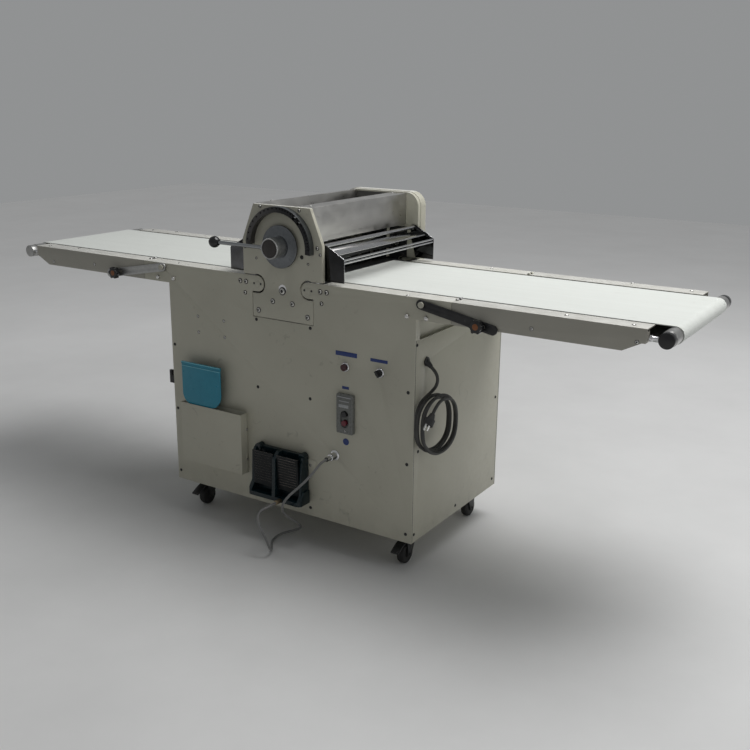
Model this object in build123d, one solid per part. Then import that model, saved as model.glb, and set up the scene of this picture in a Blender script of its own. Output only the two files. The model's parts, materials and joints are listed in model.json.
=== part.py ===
"""Reversible dough sheeter: cabinet on casters, roll head with gap lever, two folding conveyor tables.

Millimetres. +X runs along the conveyor to the right, +Y to the back, +Z up from the floor.
Every physical piece is written as its own file in parts/.
"""
import math
import os

from build123d import *

# Overall sizes
table_height = 875.0          # floor to the top of the rail flanges
cabinet_width = 960.0
cabinet_depth = 575.0         # over the front and rear panels
cabinet_clearance = 108.0     # floor to the underside of the cabinet
fold_x = 593.0                # centre line to the fold of each table
rail_length = 550.0           # folding rail, from the fold to its outer end
rail_height = 64.0
flange_width = 62.0
panel_sheet = 4.0
rail_sheet = 3.0

# Rolls and gap setting
roll_radius = 32.0
roll_face = 456.0
gap_open = 25.0
gap_closed = 1.0
lever_turn = 190.0            # degrees from widest to narrowest gap
lever_reach = 228.0           # hub centre to ball centre
ball_r = 18.5
cam_start = 20.0              # spiral radius at the widest gap
pin_rise = 24.5               # follower pin above the upper roll's axis
head_plate = 14.0             # thickness of the cast head plates

# Conveyors
belt_width = 424.0
belt_thickness = 2.0
belt_gap = 0.3                # air between belt and roller faces in the model
conveyor_roll = 22.0          # radius of drive and end rollers
drive_roll_x = 98.5
end_reach = 48.0              # outer end of the rail to the end roller's axis

# Depth of what stands out in front of and behind the panels
foot_reach = 87.0             # foot switch with its cable gland
cover_depth = 40.0            # rear drive cover

# Fits
run_fit = 0.05                # radial clearance of a shaft in its bearing
side_fit = 0.3                # air between faces that pass each other

# Derived levels
face_y = cabinet_depth / 2
web_y = face_y - panel_sheet
half_w = cabinet_width / 2
web_low = table_height - rail_height
end_roller_x = fold_x + rail_length + end_reach
belt_drop = 25.0                                # table top to the axis of all conveyor rollers
belt_z = table_height - belt_drop
belt_inner = conveyor_roll + belt_gap
belt_outer = belt_inner + belt_thickness
lower_z = table_height - 0.5 - roll_radius      # lower roll axis
upper_z = lower_z + 2 * roll_radius + gap_open  # upper roll axis, widest gap
gap_travel = gap_open - gap_closed
cam_z = upper_z + pin_rise + cam_start
cam_rate = gap_travel / math.radians(lever_turn)
plate_in = face_y - head_plate
head_foot_drop = 131.0
head_foot = table_height - head_foot_drop
back_shift = (foot_reach - cover_depth) / 2     # puts the origin in the middle of the overall depth


def box(x0, x1, y0, y1, z0, z1):
    """A block given by its two corners."""
    return Pos((x0 + x1) / 2, (y0 + y1) / 2, (z0 + z1) / 2) * Box(x1 - x0, y1 - y0, z1 - z0)


def rod_x(y, z, r, x0, x1):
    """A round bar along X."""
    return Pos((x0 + x1) / 2, y, z) * Rot(0, 90, 0) * Cylinder(r, x1 - x0)


def rod_y(x, z, r, y0, y1):
    """A round bar along Y."""
    return Pos(x, (y0 + y1) / 2, z) * Rot(90, 0, 0) * Cylinder(r, y1 - y0)


def rod_z(x, y, r, z0, z1):
    """A round bar along Z."""
    return Pos(x, y, (z0 + z1) / 2) * Cylinder(r, z1 - z0)


def slab_y(face, y0, y1):
    """A sketch drawn in X and Z, given thickness from y0 to y1."""
    return extrude(Plane.XZ.offset(-y1) * face, amount=y1 - y0)


def slab_x(face, x0, x1):
    """A sketch drawn in Y and Z, given thickness from x0 to x1."""
    return extrude(Plane.YZ.offset(x0) * face, amount=x1 - x0)


def slab_z(face, z0, z1):
    """A sketch drawn in X and Y, given thickness from z0 to z1."""
    return extrude(Plane.XY.offset(z0) * face, amount=z1 - z0)


def area(points):
    """A flat face from its corner points."""
    return make_face(Polyline(*points, close=True))


def folded(points, sheet):
    """Section of folded sheet: the points are one skin, the other lies to their left."""
    inner = []
    for i, p in enumerate(points):
        normals = []
        for a, b in ((i - 1, i), (i, i + 1)):
            if a >= 0 and b < len(points):
                dx = points[b][0] - points[a][0]
                dy = points[b][1] - points[a][1]
                size = math.hypot(dx, dy)
                normals.append((-dy / size, dx / size))
        nx = sum(n[0] for n in normals)
        ny = sum(n[1] for n in normals)
        scale = sheet
        if len(normals) == 2:
            dot = normals[0][0] * normals[1][0] + normals[0][1] * normals[1][1]
            scale = sheet / (1 + dot)
        inner.append((p[0] + nx * scale, p[1] + ny * scale))
    return area(points + inner[::-1])


def other_side(part):
    """The same piece on the left side of the machine."""
    return mirror(part, about=Plane.YZ)


def at_back(part):
    """The same piece on the rear of the machine."""
    return mirror(part, about=Plane.XZ)


def write(name, *pieces):
    """Write one node; several pieces stay separate solids in it."""
    solids = []
    for piece in pieces:
        solids.extend((Pos(0, back_shift, 0) * piece).solids())
    export_step(solids[0] if len(solids) == 1 else Compound(children=solids), f"parts/{name}.step")


def hull_face(circles):
    """Outline of a belt or chain stretched round circles given as (x, z, r)."""
    edges = []
    for x, z, r in circles:
        edges.extend((Pos(x, z) * Circle(r)).edges())
    return make_hull(edges)


def loop_y(circles, gap, thick, y0, y1):
    """A closed chain or belt round its wheels."""
    outside = hull_face([(x, z, r + gap + thick) for x, z, r in circles])
    inside = hull_face([(x, z, r + gap) for x, z, r in circles])
    return slab_y(outside - inside, y0, y1)


def gear_outline(teeth, module, first, backlash):
    """Involute gear face with one tooth centred on the angle first (radians)."""
    pitch = teeth * module / 2
    base = pitch * math.cos(math.radians(20))
    tip = pitch + module
    root = pitch - 1.25 * module

    def inv(r):
        a = math.acos(min(1.0, base / r))
        return math.tan(a) - a

    half = math.pi / (2 * teeth) - backlash / (2 * pitch) + inv(pitch)
    low = max(base, root)
    radii = [low + (tip - low) * k / 4 for k in range(5)]
    points = []
    for n in range(teeth):
        mid = first + 2 * math.pi * n / teeth
        points.append((root * math.cos(mid - half), root * math.sin(mid - half)))
        for r in radii:
            t = mid - half + inv(r)
            points.append((r * math.cos(t), r * math.sin(t)))
        for r in reversed(radii):
            t = mid + half - inv(r)
            points.append((r * math.cos(t), r * math.sin(t)))
        points.append((root * math.cos(mid + half), root * math.sin(mid + half)))
    return area(points)


def sprocket(x, z, r, y0, y1):
    """A toothed wheel with its tips on radius r."""
    teeth = round(r / 1.6)
    points = []
    for n in range(teeth):
        for part, reach in ((0.0, r - 3.0), (0.3, r - 3.0), (0.45, r), (0.85, r)):
            t = 2 * math.pi * (n + part) / teeth
            points.append((x + reach * math.cos(t), z + reach * math.sin(t)))
    return slab_y(area(points), y0, y1)


os.makedirs("parts", exist_ok=True)

# Base frame: floor tray with upturned edges, corner posts, cross rails, motor shelf and head beams.
tray_x = half_w - 2.0
post = 40.0
rail_drop = 60.0              # foot of the head to the underside of the upper rails
shelf_z_drop = 367.0
shelf_z = table_height - shelf_z_drop
rail_z = head_foot - rail_drop
tray_sheet = 4.0
tray_edge = 30.0
rail_bar = 30.0
rail_set = 42.0               # rail behind the panel
rail_thick = 8.0
post_deep = rail_set + rail_thick + 2
beam_in = 80.0
beam_out = 112.0
shelf_half = 125.0
tray = box(-tray_x, tray_x, -web_y, web_y, cabinet_clearance, cabinet_clearance + tray_sheet)
posts = []
for s in (-1, 1):
    edge = sorted((s * tray_x, s * (tray_x - 3)))
    tray += box(edge[0], edge[1], -web_y, web_y, cabinet_clearance, cabinet_clearance + tray_edge)
    for t in (-1, 1):
        xs = sorted((s * (tray_x - 3), s * (tray_x - post)))
        thin = sorted((s * (tray_x - 3), s * (tray_x - 6)))
        ys = sorted((t * web_y, t * (web_y - 3)))
        yw = sorted((t * web_y, t * (web_y - post_deep)))
        angle = box(xs[0], xs[1], ys[0], ys[1], cabinet_clearance + tray_sheet, head_foot)
        angle += box(thin[0], thin[1], yw[0], yw[1], cabinet_clearance + tray_sheet, head_foot)
        posts.append(angle)
rails = []
for t in (-1, 1):
    ys = sorted((t * (web_y - rail_set), t * (web_y - rail_set - rail_thick)))
    for z in (rail_z, shelf_z - rail_bar - 3):
        rails.append(box(-tray_x + 6, tray_x - 6, ys[0], ys[1], z, z + rail_bar))
for s in (-1, 1):
    xs = sorted((s * beam_in, s * beam_out))
    rails.append(box(xs[0], xs[1], -web_y, web_y, rail_z + rail_bar, head_foot))
rails.append(box(-shelf_half, shelf_half, -web_y, web_y, shelf_z - 3, shelf_z))

# Casters: plate under the tray, swivel fork with its stem, wheel on an axle, brake pedal in front.
caster_x = half_w - 65.0
caster_y = face_y - 97.5
wheel_r = 32.5
trail = 25.0
plate_low = cabinet_clearance - 4.0
fork_top = plate_low - 0.5
caster_plates = []
for s in (-1, 1):
    for t in (-1, 1):
        cx = s * caster_x
        cy = t * caster_y
        bare = box(cx - 38, cx + 38, cy - 32, cy + 32, plate_low, cabinet_clearance)
        caster_plates.append(bare - rod_z(cx, cy, 6 + run_fit, plate_low - 1, plate_low + 3))
write("base_frame", tray, *posts, *rails, *caster_plates)

leg = area([(-18, fork_top - 4), (30, fork_top - 4), (38, 80), (trail + 11, 28), (14, 28), (-12, 80)])
for s, side in ((-1, "left"), (1, "right")):
    for t, end in ((-1, "front"), (1, "rear")):
        fork = rod_z(0, 0, 27, fork_top - 4, fork_top) + rod_z(0, 0, 6, fork_top - 4, plate_low + 2.5)
        fork += box(-19, 19, -18, 30, fork_top - 4.5, fork_top - 1)
        for k in (-1, 1):
            xs = sorted((k * 16.0, k * 19.0))
            fork += slab_x(leg, xs[0], xs[1])
        fork += rod_x(trail, wheel_r, 4, -22, 22)
        wheel = rod_x(trail, wheel_r, wheel_r, -12.5, 12.5)
        wheel = fillet(wheel.edges().filter_by(GeomType.CIRCLE), 5)
        wheel += rod_x(trail, wheel_r, 12, -15.6, 15.6)
        wheel -= rod_x(trail, wheel_r, 4 + run_fit, -30, 30)
        pieces = [(f"{side}_{end}_fork", fork), (f"{side}_{end}_wheel", wheel)]
        if end == "front":
            fork_hole = rod_x(28, 78, 3 + run_fit, -30, 30)
            pieces[0] = (pieces[0][0], fork - fork_hole)
            pedal = rod_x(28, 78, 3, -21.5, 21.5) + rod_x(28, 78, 6.5, -15.6, 15.6)
            tread = area([(24, 80), (30, 84), (62, 73), (90, 57), (88, 53), (60, 68), (28, 77)])
            pedal += slab_x(tread, -14, 14)
            pieces.append((f"{side}_brake_pedal", pedal))
        for name, piece in pieces:
            turned = piece if t > 0 else at_back(piece)
            write(name, Pos(s * caster_x, t * caster_y, 0) * turned)

# Front and rear panels: one plate each with two wings, folded top flanges, roll lugs and hinge knuckles.
side_top = head_foot + 3      # upper edge of the side panels
corner_return = 20.0          # edge of the panel bent round the cabinet's corner above the side panel
seam = 119.5
wing_end = fold_x - 0.5
lug_r = 25.0
lug_space = lug_r + 5.5       # clearance round each lug in the head plates
knuckle_y = face_y - 55.0
plate = Pos(0, (cabinet_clearance + web_low) / 2) * Rectangle(cabinet_width, web_low - cabinet_clearance)
plate += Pos(0, (web_low + table_height) / 2) * Rectangle(2 * wing_end, rail_height)
plate -= Pos(0, table_height) * Rectangle(2 * seam, 2 * (table_height - head_foot + 2))
for s in (-1, 1):
    plate += Pos(s * drive_roll_x, belt_z) * Circle(lug_r)
    plate += Pos(s * (drive_roll_x + seam) / 2, belt_z) * Rectangle(seam - drive_roll_x + 1, 2 * lug_r)
    plate -= Pos(s * drive_roll_x, belt_z) * Circle(8 + run_fit)


def hinge_knuckles(x, first):
    """Hinge eyes at the fold line; first picks the outer eyes or the middle one."""
    spans = ((0, 10), (20, 30)) if first else ((10.2, 19.8),)
    eyes = None
    for a, b in spans:
        eye = rod_y(x, table_height, 5, -knuckle_y + a - 25, -knuckle_y + b - 25)
        eyes = eye if eyes is None else eyes + eye
    return eyes


fold_pin = rod_y(fold_x, table_height, 2.5, -knuckle_y - 25, -knuckle_y + 5)
fold_bore = rod_y(fold_x, table_height, 2.5 + run_fit, -knuckle_y - 26, -knuckle_y + 6)
fold_space = rod_y(fold_x, table_height, 5.6, -knuckle_y - 25.2, -knuckle_y + 5.2)


def panel():
    """The front panel, or the rear one mirrored about the centre plane."""
    body = slab_y(plate, -face_y, -web_y)
    for s in (-1, 1):
        xs = sorted((s * (drive_roll_x + lug_r + 31), s * wing_end))
        flange = box(xs[0], xs[1], -face_y, -face_y + flange_width, table_height - rail_sheet, table_height)
        lower = sorted((s * half_w, s * wing_end))
        flange += box(lower[0], lower[1], -face_y, -face_y + 18, web_low, web_low + rail_sheet)
        bent = sorted((s * half_w, s * (half_w - rail_sheet)))
        flange += box(bent[0], bent[1], -face_y, -web_y + corner_return, side_top + side_fit,
                      web_low + rail_sheet)
        eyes = hinge_knuckles(fold_x, True)
        space = fold_space
        if s < 0:
            eyes = other_side(eyes)
            space = other_side(space)
        bore = fold_bore if s > 0 else other_side(fold_bore)
        body = (body + flange - space) + eyes - bore
        body += rod_y(s * drive_roll_x, belt_z, 16, -web_y, -web_y + 20)
        body -= rod_y(s * drive_roll_x, belt_z, 8 + run_fit, -face_y - 1, -web_y + 21)
    return body


stay_a = {1: (500.0, table_height - 18.0), -1: (506.0, table_height - 14.0)}
stay_b = {1: (682.0, table_height - 53.0), -1: (719.0, table_height - 53.0)}
front = panel()
for s in (-1, 1):
    ax, az = stay_a[s]
    front -= rod_y(s * ax, az, 5, -face_y - 1, -web_y + 1)
bezel_at = ((237.0, table_height - 243.5), (361.0, table_height - 242.0))
for bx, bz in bezel_at:
    front -= rod_y(bx, bz, 12.3, -face_y - 1, -web_y + 1)
socket_x = 198.0
socket_z_drop = 537.0
socket_z = table_height - socket_z_drop
front -= rod_y(socket_x, socket_z, 8 + run_fit, -face_y - 1, -web_y + 1)
shoulders = []
for s in (-1, 1):
    ax, az = stay_a[s]
    bolt = rod_y(s * ax, az, 5, -face_y - 8, -web_y) + rod_y(s * ax, az, 9, -face_y - 12, -face_y - 7.3)
    shoulders.append(bolt)
write("front_panel", front, *shoulders)
motor_z_drop = 275.0
motor_z = table_height - motor_z_drop
rear = at_back(panel()) - rod_y(0, motor_z, 18, web_y - 1, face_y + 1)
write("rear_panel", rear)

# Side panels close the cabinet between the front and rear panels.
gland_y = -221.0
gland_z_drop = 203.0
gland_z = table_height - gland_z_drop
sides = []
for s in (-1, 1):
    xs = sorted((s * tray_x, s * half_w))
    sheet = box(xs[0], xs[1], -web_y + 0.1, web_y - 0.1, cabinet_clearance, side_top)
    if s > 0:
        sheet -= rod_x(gland_y, gland_z, 9 + run_fit, xs[0] - 1, xs[1] + 1)
    sides.append(sheet)
hook_z_drop = 368.0
hook_z = table_height - hook_z_drop
hook = box(-half_w - 3, -half_w, -12, 12, hook_z - 46, hook_z)
hook += box(-half_w - 22, -half_w, -8, 8, hook_z - 46, hook_z - 42)
hook += box(-half_w - 22, -half_w - 18, -8, 8, hook_z - 46, hook_z - 28)
write("side_panels", *sides, hook)

# Head plates: thick castings that carry both rolls, with guide bars for the sliding blocks.
block_half = 27.0
guide_out = 40.0
guide_low_rise = 0.5
guide_low = table_height + guide_low_rise
guide_high = upper_z + 64.0
outline = area([(-118, head_foot), (118, head_foot), (118, table_height + 3), (153, table_height + 3),
                (153, table_height + 115), (108, table_height + 224), (-108, table_height + 224),
                (-153, table_height + 115), (-153, table_height + 3), (-118, table_height + 3)])
for s in (-1, 1):
    outline -= Pos(s * drive_roll_x, belt_z) * Circle(lug_space)
    slit_low = belt_z - lug_space
    slit_high = table_height + 3
    slit = Rectangle(30, slit_high - slit_low)
    outline -= Pos(s * (drive_roll_x + 15), (slit_low + slit_high) / 2) * slit
jack_angle = math.radians(49.6)
gear_teeth = 24
gear_module = 4.5
gear_centres = gear_teeth * gear_module
jack_x = gear_centres * math.cos(jack_angle)
jack_z = lower_z + gear_centres * math.sin(jack_angle)
guard_x = 135.0
guard_z_rise = 107.0
guard_z = table_height + guard_z_rise


def head_side(rear):
    """One head plate with its two guide bars, drawn at the front."""
    body = slab_y(outline, -face_y, -plate_in)
    for s in (-1, 1):
        xs = sorted((s * (block_half + side_fit), s * guide_out))
        body += box(xs[0], xs[1], -plate_in, -plate_in + 18, guide_low, guide_high)
        body -= rod_y(s * guard_x, guard_z, 4 + run_fit, -plate_in - 8, -plate_in + 1)
    body -= rod_y(0, lower_z, 15 + run_fit, -face_y - 1, -plate_in + 1)
    body -= rod_y(0, cam_z, 11 + run_fit, -face_y - 1, -plate_in + 1)
    if rear:
        window = hull_face([(0, upper_z + 1, 11.5), (0, upper_z - gap_travel - 1, 11.5)])
        body -= slab_y(window, -face_y - 1, -plate_in + 1)
        body -= rod_y(jack_x, jack_z, 8 + run_fit, -face_y - 1, -plate_in + 1)
    return body


ties = [rod_y(s * 96.0, head_foot + 22, 9, -plate_in, plate_in) for s in (-1, 1)]
write("head_plates", head_side(False), at_back(head_side(True)), *ties)

# Lower roll: steel roll with journals, drive gear and two sprockets behind the rear plate.
lower = rod_y(0, lower_z, roll_radius, -roll_face / 2, roll_face / 2)
lower += rod_y(0, lower_z, 15, -face_y + 1, face_y + 1)
lower += rod_y(0, lower_z, 10, face_y, face_y + 32)
gear_y0 = face_y + 10.0
gear_y1 = gear_y0 + 10
gear_a = Pos(0, lower_z) * gear_outline(gear_teeth, gear_module, jack_angle, 0.5)
lower += slab_y(gear_a, gear_y0, gear_y1)
chain_1 = face_y + 3.5
chain_2 = face_y + 24.5
tooth = 1.6                   # tip radius for each tooth of a sprocket
big_r = 16 * tooth
mid_r = 18 * tooth
small_r = 11 * tooth
motor_r = 10 * tooth
lower += sprocket(0, lower_z, big_r, chain_1 + 0.5, chain_1 + 4.5)
lower += sprocket(0, lower_z, mid_r, chain_2 + 0.5, chain_2 + 4.5)
write("lower_roll", lower)

# Jackshaft: reverses the turning for the upper roll.
jack = rod_y(jack_x, jack_z, 8, plate_in + 1, face_y + 22)
gear_b = Pos(jack_x, jack_z) * gear_outline(
    gear_teeth, gear_module, jack_angle + math.pi + math.pi / gear_teeth, 0.5)
jack += slab_y(gear_b, gear_y0, gear_y1)
jack += sprocket(jack_x, jack_z, motor_r, chain_1 + 0.5, chain_1 + 4.5)
write("jackshaft", jack)

# Upper roll: same roll face, journals in the sliding blocks, sprocket behind the rear plate.
upper = rod_y(0, upper_z, roll_radius, -roll_face / 2, roll_face / 2)
upper += rod_y(0, upper_z, 12, -plate_in + 2, plate_in - 0.2)
upper += rod_y(0, upper_z, 10, plate_in - 1, chain_1 + 5)
upper += sprocket(0, upper_z, motor_r, chain_1 + 0.5, chain_1 + 4.5)
write("upper_roll", upper)

# Upper roll carriage: two sliding blocks with follower pins, joined by the roll's scraper bars.
block_y0 = plate_in - 0.5
block_y1 = block_y0 - 18
cam_y0 = block_y1 - 5
cam_y1 = cam_y0 - 10
blocks = None
for t in (-1, 1):
    ys = sorted((t * block_y0, t * block_y1))
    one = box(-block_half, block_half, ys[0], ys[1], upper_z - 26, upper_z + 31)
    yp = sorted((t * block_y0, t * (cam_y1 + 1)))
    one += rod_y(0, upper_z + pin_rise, 5, yp[0], yp[1])
    ya = sorted((t * block_y1, t * (block_y1 - 4)))
    one += box(-64, 64, ya[0], ya[1], upper_z - 24, upper_z - 4)
    one -= rod_y(0, upper_z, 12 + run_fit, -face_y, face_y)
    blocks = one if blocks is None else blocks + one
for s in (-1, 1):
    xs = sorted((s * 50.0, s * 62.0))
    blocks += box(xs[0], xs[1], -block_y1, block_y1, upper_z - 16, upper_z - 8)
    reach = math.sqrt(roll_radius ** 2 - 13 ** 2) + 0.8
    lip = area([(s * reach, upper_z - 13), (s * 52, upper_z - 13), (s * 52, upper_z - 10),
                (s * (reach + 3), upper_z - 10)])
    blocks += slab_y(lip, -roll_face / 2, roll_face / 2)
write("upper_roll_carriage", blocks)

# Gap cams: two plates with a spiral slot on stub shafts, held together by a tie rod.
steps = 24
spiral = []
for n in range(steps + 1):
    d = math.radians(lever_turn) * n / steps
    r = cam_start + cam_rate * d
    c = (r * math.sin(d), -r * math.cos(d))
    tx = cam_rate * math.sin(d) + r * math.cos(d)
    tz = -cam_rate * math.cos(d) + r * math.sin(d)
    size = math.hypot(tx, tz)
    spiral.append((c[0], c[1], tx / size, tz / size))
slot_half = 5.5
left_edge = [(x - tz * slot_half, z + tx * slot_half) for x, z, tx, tz in spiral]
right_edge = [(x + tz * slot_half, z - tx * slot_half) for x, z, tx, tz in spiral]


def round_end(item, start):
    """Points of the half round that closes the slot."""
    x, z, tx, tz = item
    back = -1 if start else 1
    pts = []
    for k in range(1, 6):
        a = math.pi * k / 6
        side = math.cos(a) if not start else -math.cos(a)
        along = math.sin(a) * back
        pts.append((x + slot_half * (tz * side + tx * along), z + slot_half * (-tx * side + tz * along)))
    return pts


slot = area(right_edge + round_end(spiral[-1], False) + left_edge[::-1] + round_end(spiral[0], True))
rim = []
last_r = cam_start + cam_rate * math.radians(lever_turn) + 10
for n in range(60):
    d = math.radians(6 * n)
    turn = math.radians(lever_turn)
    if d <= turn:
        r = cam_start + cam_rate * d + 10
    elif d < math.radians(285):
        r = last_r
    else:
        r = last_r - (last_r - cam_start - 10) * (d - math.radians(285)) / math.radians(75)
    rim.append((r * math.sin(d), -r * math.cos(d)))
cam_face = Pos(0, cam_z) * (area(rim) - slot)
tie_at = cam_start + cam_rate * math.radians(lever_turn) + 1
cams = None
for t in (-1, 1):
    ys = sorted((t * cam_y0, t * cam_y1))
    one = slab_y(cam_face, ys[0], ys[1])
    yo = sorted((t * cam_y1, t * (face_y + (42 if t < 0 else -2))))
    one += rod_y(0, cam_z, 11, yo[0], yo[1])
    cams = one if cams is None else cams + one
cams += rod_y(-tie_at, cam_z, 6, -cam_y1, cam_y1)
write("gap_cams", cams)

# Gap lever: hub with flange on the cam shaft, rod and ball.
hub_y = -face_y - 6
lever = rod_y(0, cam_z, 66, hub_y - 6, hub_y) + rod_y(0, cam_z, 32, -face_y - 61, hub_y - 5)
lever = lever - rod_y(0, cam_z, 11 + run_fit, -face_y - 42.2, hub_y + 1)
rod_level = -face_y - 48
lever += rod_x(rod_level, cam_z, 6, -lever_reach, -28)
lever += Pos(-lever_reach, rod_level, cam_z) * Rot(0, 0, 180) * Sphere(ball_r)
write("gap_lever", lever)

# Index plate: thick ring segment with a row of holes on the front head plate, two stop pins, shaft collar.
index_in = 105.0
index_out = 122.5
index_proud = 22.0
index_row = 117.0             # radius of the row of holes
index_hole = 2.6
index_low = math.radians(-7)  # the segment runs from here to the left end of its diameter
index_face = -face_y - index_proud
far = 2 * index_out
below = area([(0, 0), (-far, 0), (-far, -far), (far, -far),
              (far * math.cos(index_low), far * math.sin(index_low))])
ring = Pos(0, cam_z) * (Circle(index_out) - Circle(index_in) - below)
ring = slab_y(ring, index_face, -face_y)
holes = [172 - 10 * n for n in range(6)] + [114 - 8 * n for n in range(4)]
holes += [84 - 5.2 * n for n in range(17)]
for degrees in holes:
    a = math.radians(degrees)
    ring -= rod_y(index_row * math.cos(a), cam_z + index_row * math.sin(a), index_hole,
                  index_face - 1, index_face + 8)
stops = []
for degrees in (holes[16], holes[18]):
    a = math.radians(degrees)
    x = index_row * math.cos(a)
    z = cam_z + index_row * math.sin(a)
    stops.append(rod_y(x, z, index_hole, index_face - 2, index_face + 7)
                 + rod_y(x, z, 5.5, index_face - 10, index_face))
collar = rod_y(0, cam_z, 40, -face_y - 5.5, -face_y) - rod_y(0, cam_z, 12, -face_y - 9, -face_y + 1)
write("index_plate", ring, collar, *stops)

# Hood: stainless cover over the roll head with a sunk tray on top.
hood_low_rise = 123.0
hood_low = table_height + hood_low_rise
hood_high_rise = 221.0
hood_high = table_height + hood_high_rise
tray_floor_rise = 166.0
tray_floor = table_height + tray_floor_rise
hood_y = plate_in - 0.5
hood_half = 146.0
hood_top = 105.0
tray_half = 92.0
hood_sheet = 1.5
profile = [(-hood_half, hood_low), (-hood_top, hood_high), (-tray_half, hood_high), (-tray_half, tray_floor),
           (tray_half, tray_floor), (tray_half, hood_high), (hood_top, hood_high), (hood_half, hood_low)]
hood = slab_y(folded(profile[::-1], hood_sheet), -hood_y, hood_y)
for t in (-1, 1):
    ys = sorted((t * hood_y, t * (hood_y - hood_sheet)))
    hood += box(-tray_half - 0.5, tray_half + 0.5, ys[0], ys[1], tray_floor, hood_high - 6)
write("hood", hood)

# Rear drive cover: boxed sheet over gears and chains.
cover_low_drop = 315.0
cover_low = table_height - cover_low_drop
cover_high_rise = 229.0
cover_high = table_height + cover_high_rise
cover_width = 314.0
cover_corner = 50.0
cover_sheet = 2.0
cover_mid = Pos(0, (cover_low + cover_high) / 2)
shape = cover_mid * Rectangle(cover_width, cover_high - cover_low)
shape = fillet(shape.vertices().group_by(Axis.Y)[-1], cover_corner)
small = cover_mid * Rectangle(cover_width - 2 * cover_sheet, cover_high - cover_low - 2 * cover_sheet)
small = fillet(small.vertices().group_by(Axis.Y)[-1], cover_corner - cover_sheet)
cover = slab_y(shape, face_y, face_y + cover_depth)
back_edges = cover.faces().sort_by(Axis.Y)[-1].edges()
cover = fillet(back_edges, 10)
hollow = slab_y(small, face_y + 2, face_y + cover_depth - 3)
cover -= fillet(hollow.faces().sort_by(Axis.Y)[-1].edges(), 7.5)
opening = area([(-112, cover_low + 10), (112, cover_low + 10), (112, table_height + 8),
                (140, table_height + 8), (140, table_height + 112), (100, table_height + 212),
                (-100, table_height + 212), (-140, table_height + 112), (-140, table_height + 8),
                (-112, table_height + 8)])
cover -= slab_y(opening, face_y - 1, face_y + 3)
write("rear_drive_cover", cover)

# Transfer plates carry the dough from the lower roll to the belts and scrape the roll.
plates = []
for s in (-1, 1):
    top = lower_z + 27.0
    low = top - 3.0
    x_top = math.sqrt(roll_radius ** 2 - 27.0 ** 2) + 0.7
    x_low = math.sqrt(roll_radius ** 2 - 24.0 ** 2) + 0.7
    end = drive_roll_x - belt_outer * 0.76
    bridge = slab_y(area([(s * x_top, top), (s * end, top), (s * end, low), (s * x_low, low)]),
                    -plate_in, plate_in)
    plates.append(bridge)
write("transfer_plates", *plates)

# Slider beds fixed under the inner half of each belt.
bed_top = table_height - belt_gap - rail_sheet
bed_notch = box(fold_x - 7, fold_x + 7, -knuckle_y - 28, -knuckle_y + 8, bed_top - 10, bed_top + 10)
bed_notch += at_back(bed_notch)
beds = []
for s in (-1, 1):
    xs = sorted((s * (drive_roll_x + conveyor_roll + 6), s * (fold_x - 1.5)))
    bed = box(xs[0], xs[1], -web_y + 0.2, web_y - 0.2, bed_top - rail_sheet, bed_top)
    beds.append(bed - (bed_notch if s > 0 else other_side(bed_notch)))
write("inner_beds", *beds)

# Drive rolls at the inner end of each conveyor, with a sprocket behind the rear panel.
for s, side in ((-1, "left"), (1, "right")):
    roll = rod_y(s * drive_roll_x, belt_z, conveyor_roll, -web_y + 24, web_y - 24)
    roll += rod_y(s * drive_roll_x, belt_z, 8, -face_y + 0.5, chain_2 + 5)
    roll += sprocket(s * drive_roll_x, belt_z, small_r, chain_2 + 0.5, chain_2 + 4.5)
    write(f"{side}_drive_roll", roll)

# Belts: the inner half stays with the cabinet, the outer half folds with the table.
half_belt = belt_width / 2
stretch = fold_x + 200.0


def belt_section(x, keep_from, keep_to):
    """One end of a belt round its roller, cut at the fold line."""
    far = stretch if x < fold_x else fold_x - 200.0
    loop = loop_y([(x, belt_z, conveyor_roll), (far, belt_z, conveyor_roll)],
                  belt_gap, belt_thickness, -half_belt, half_belt)
    return loop & box(keep_from, keep_to, -half_belt - 1, half_belt + 1, belt_z - 60, belt_z + 60)


inner_belt = belt_section(drive_roll_x, drive_roll_x - 60, fold_x - 0.3)
write("inner_belts", inner_belt, other_side(inner_belt))
outer_belt = belt_section(end_roller_x, fold_x + 0.3, end_roller_x + 60)
write("right_belt_outer", outer_belt)
write("left_belt_outer", other_side(outer_belt))

# Folding tables: folded rails with flange, cross ties and end blocks, slider bed, take-up bolts with caps.
rail_in = fold_x + 0.5
rail_out = fold_x + rail_length
section = folded([(-face_y + flange_width, table_height), (-face_y, table_height), (-face_y, web_low),
                  (-face_y + 18, web_low)], rail_sheet)
rail = slab_x(section, rail_in, rail_out)
corner = area([(rail_out + 1, belt_z - 7), (rail_out + 1, web_low - 1),
               (rail_out - rail_height + 1, web_low - 1)])
rail -= slab_y(corner, -face_y - 1, -face_y + flange_width + 1)
rail = rail - fold_space + hinge_knuckles(fold_x, False)
rail += box(rail_out - 30, rail_out - 3, -face_y + rail_sheet - 0.5, -face_y + 31, belt_z - 14, belt_z + 14)
stud_y = face_y - 15.0
rail -= rod_x(-stud_y, belt_z, 6 + run_fit, rail_out - 40, rail_out + 5)
weld = rail + at_back(rail)
for x in (rail_in + 60, rail_out - 120):
    weld += box(x, x + 30, -face_y + rail_sheet - 0.5, face_y - rail_sheet + 0.5, belt_z - 10, belt_z + 12)
bed = box(rail_in + 1, rail_out - 3, -face_y + rail_sheet + 0.2, face_y - rail_sheet - 0.2,
          bed_top - rail_sheet, bed_top) - bed_notch
caps = []
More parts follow.
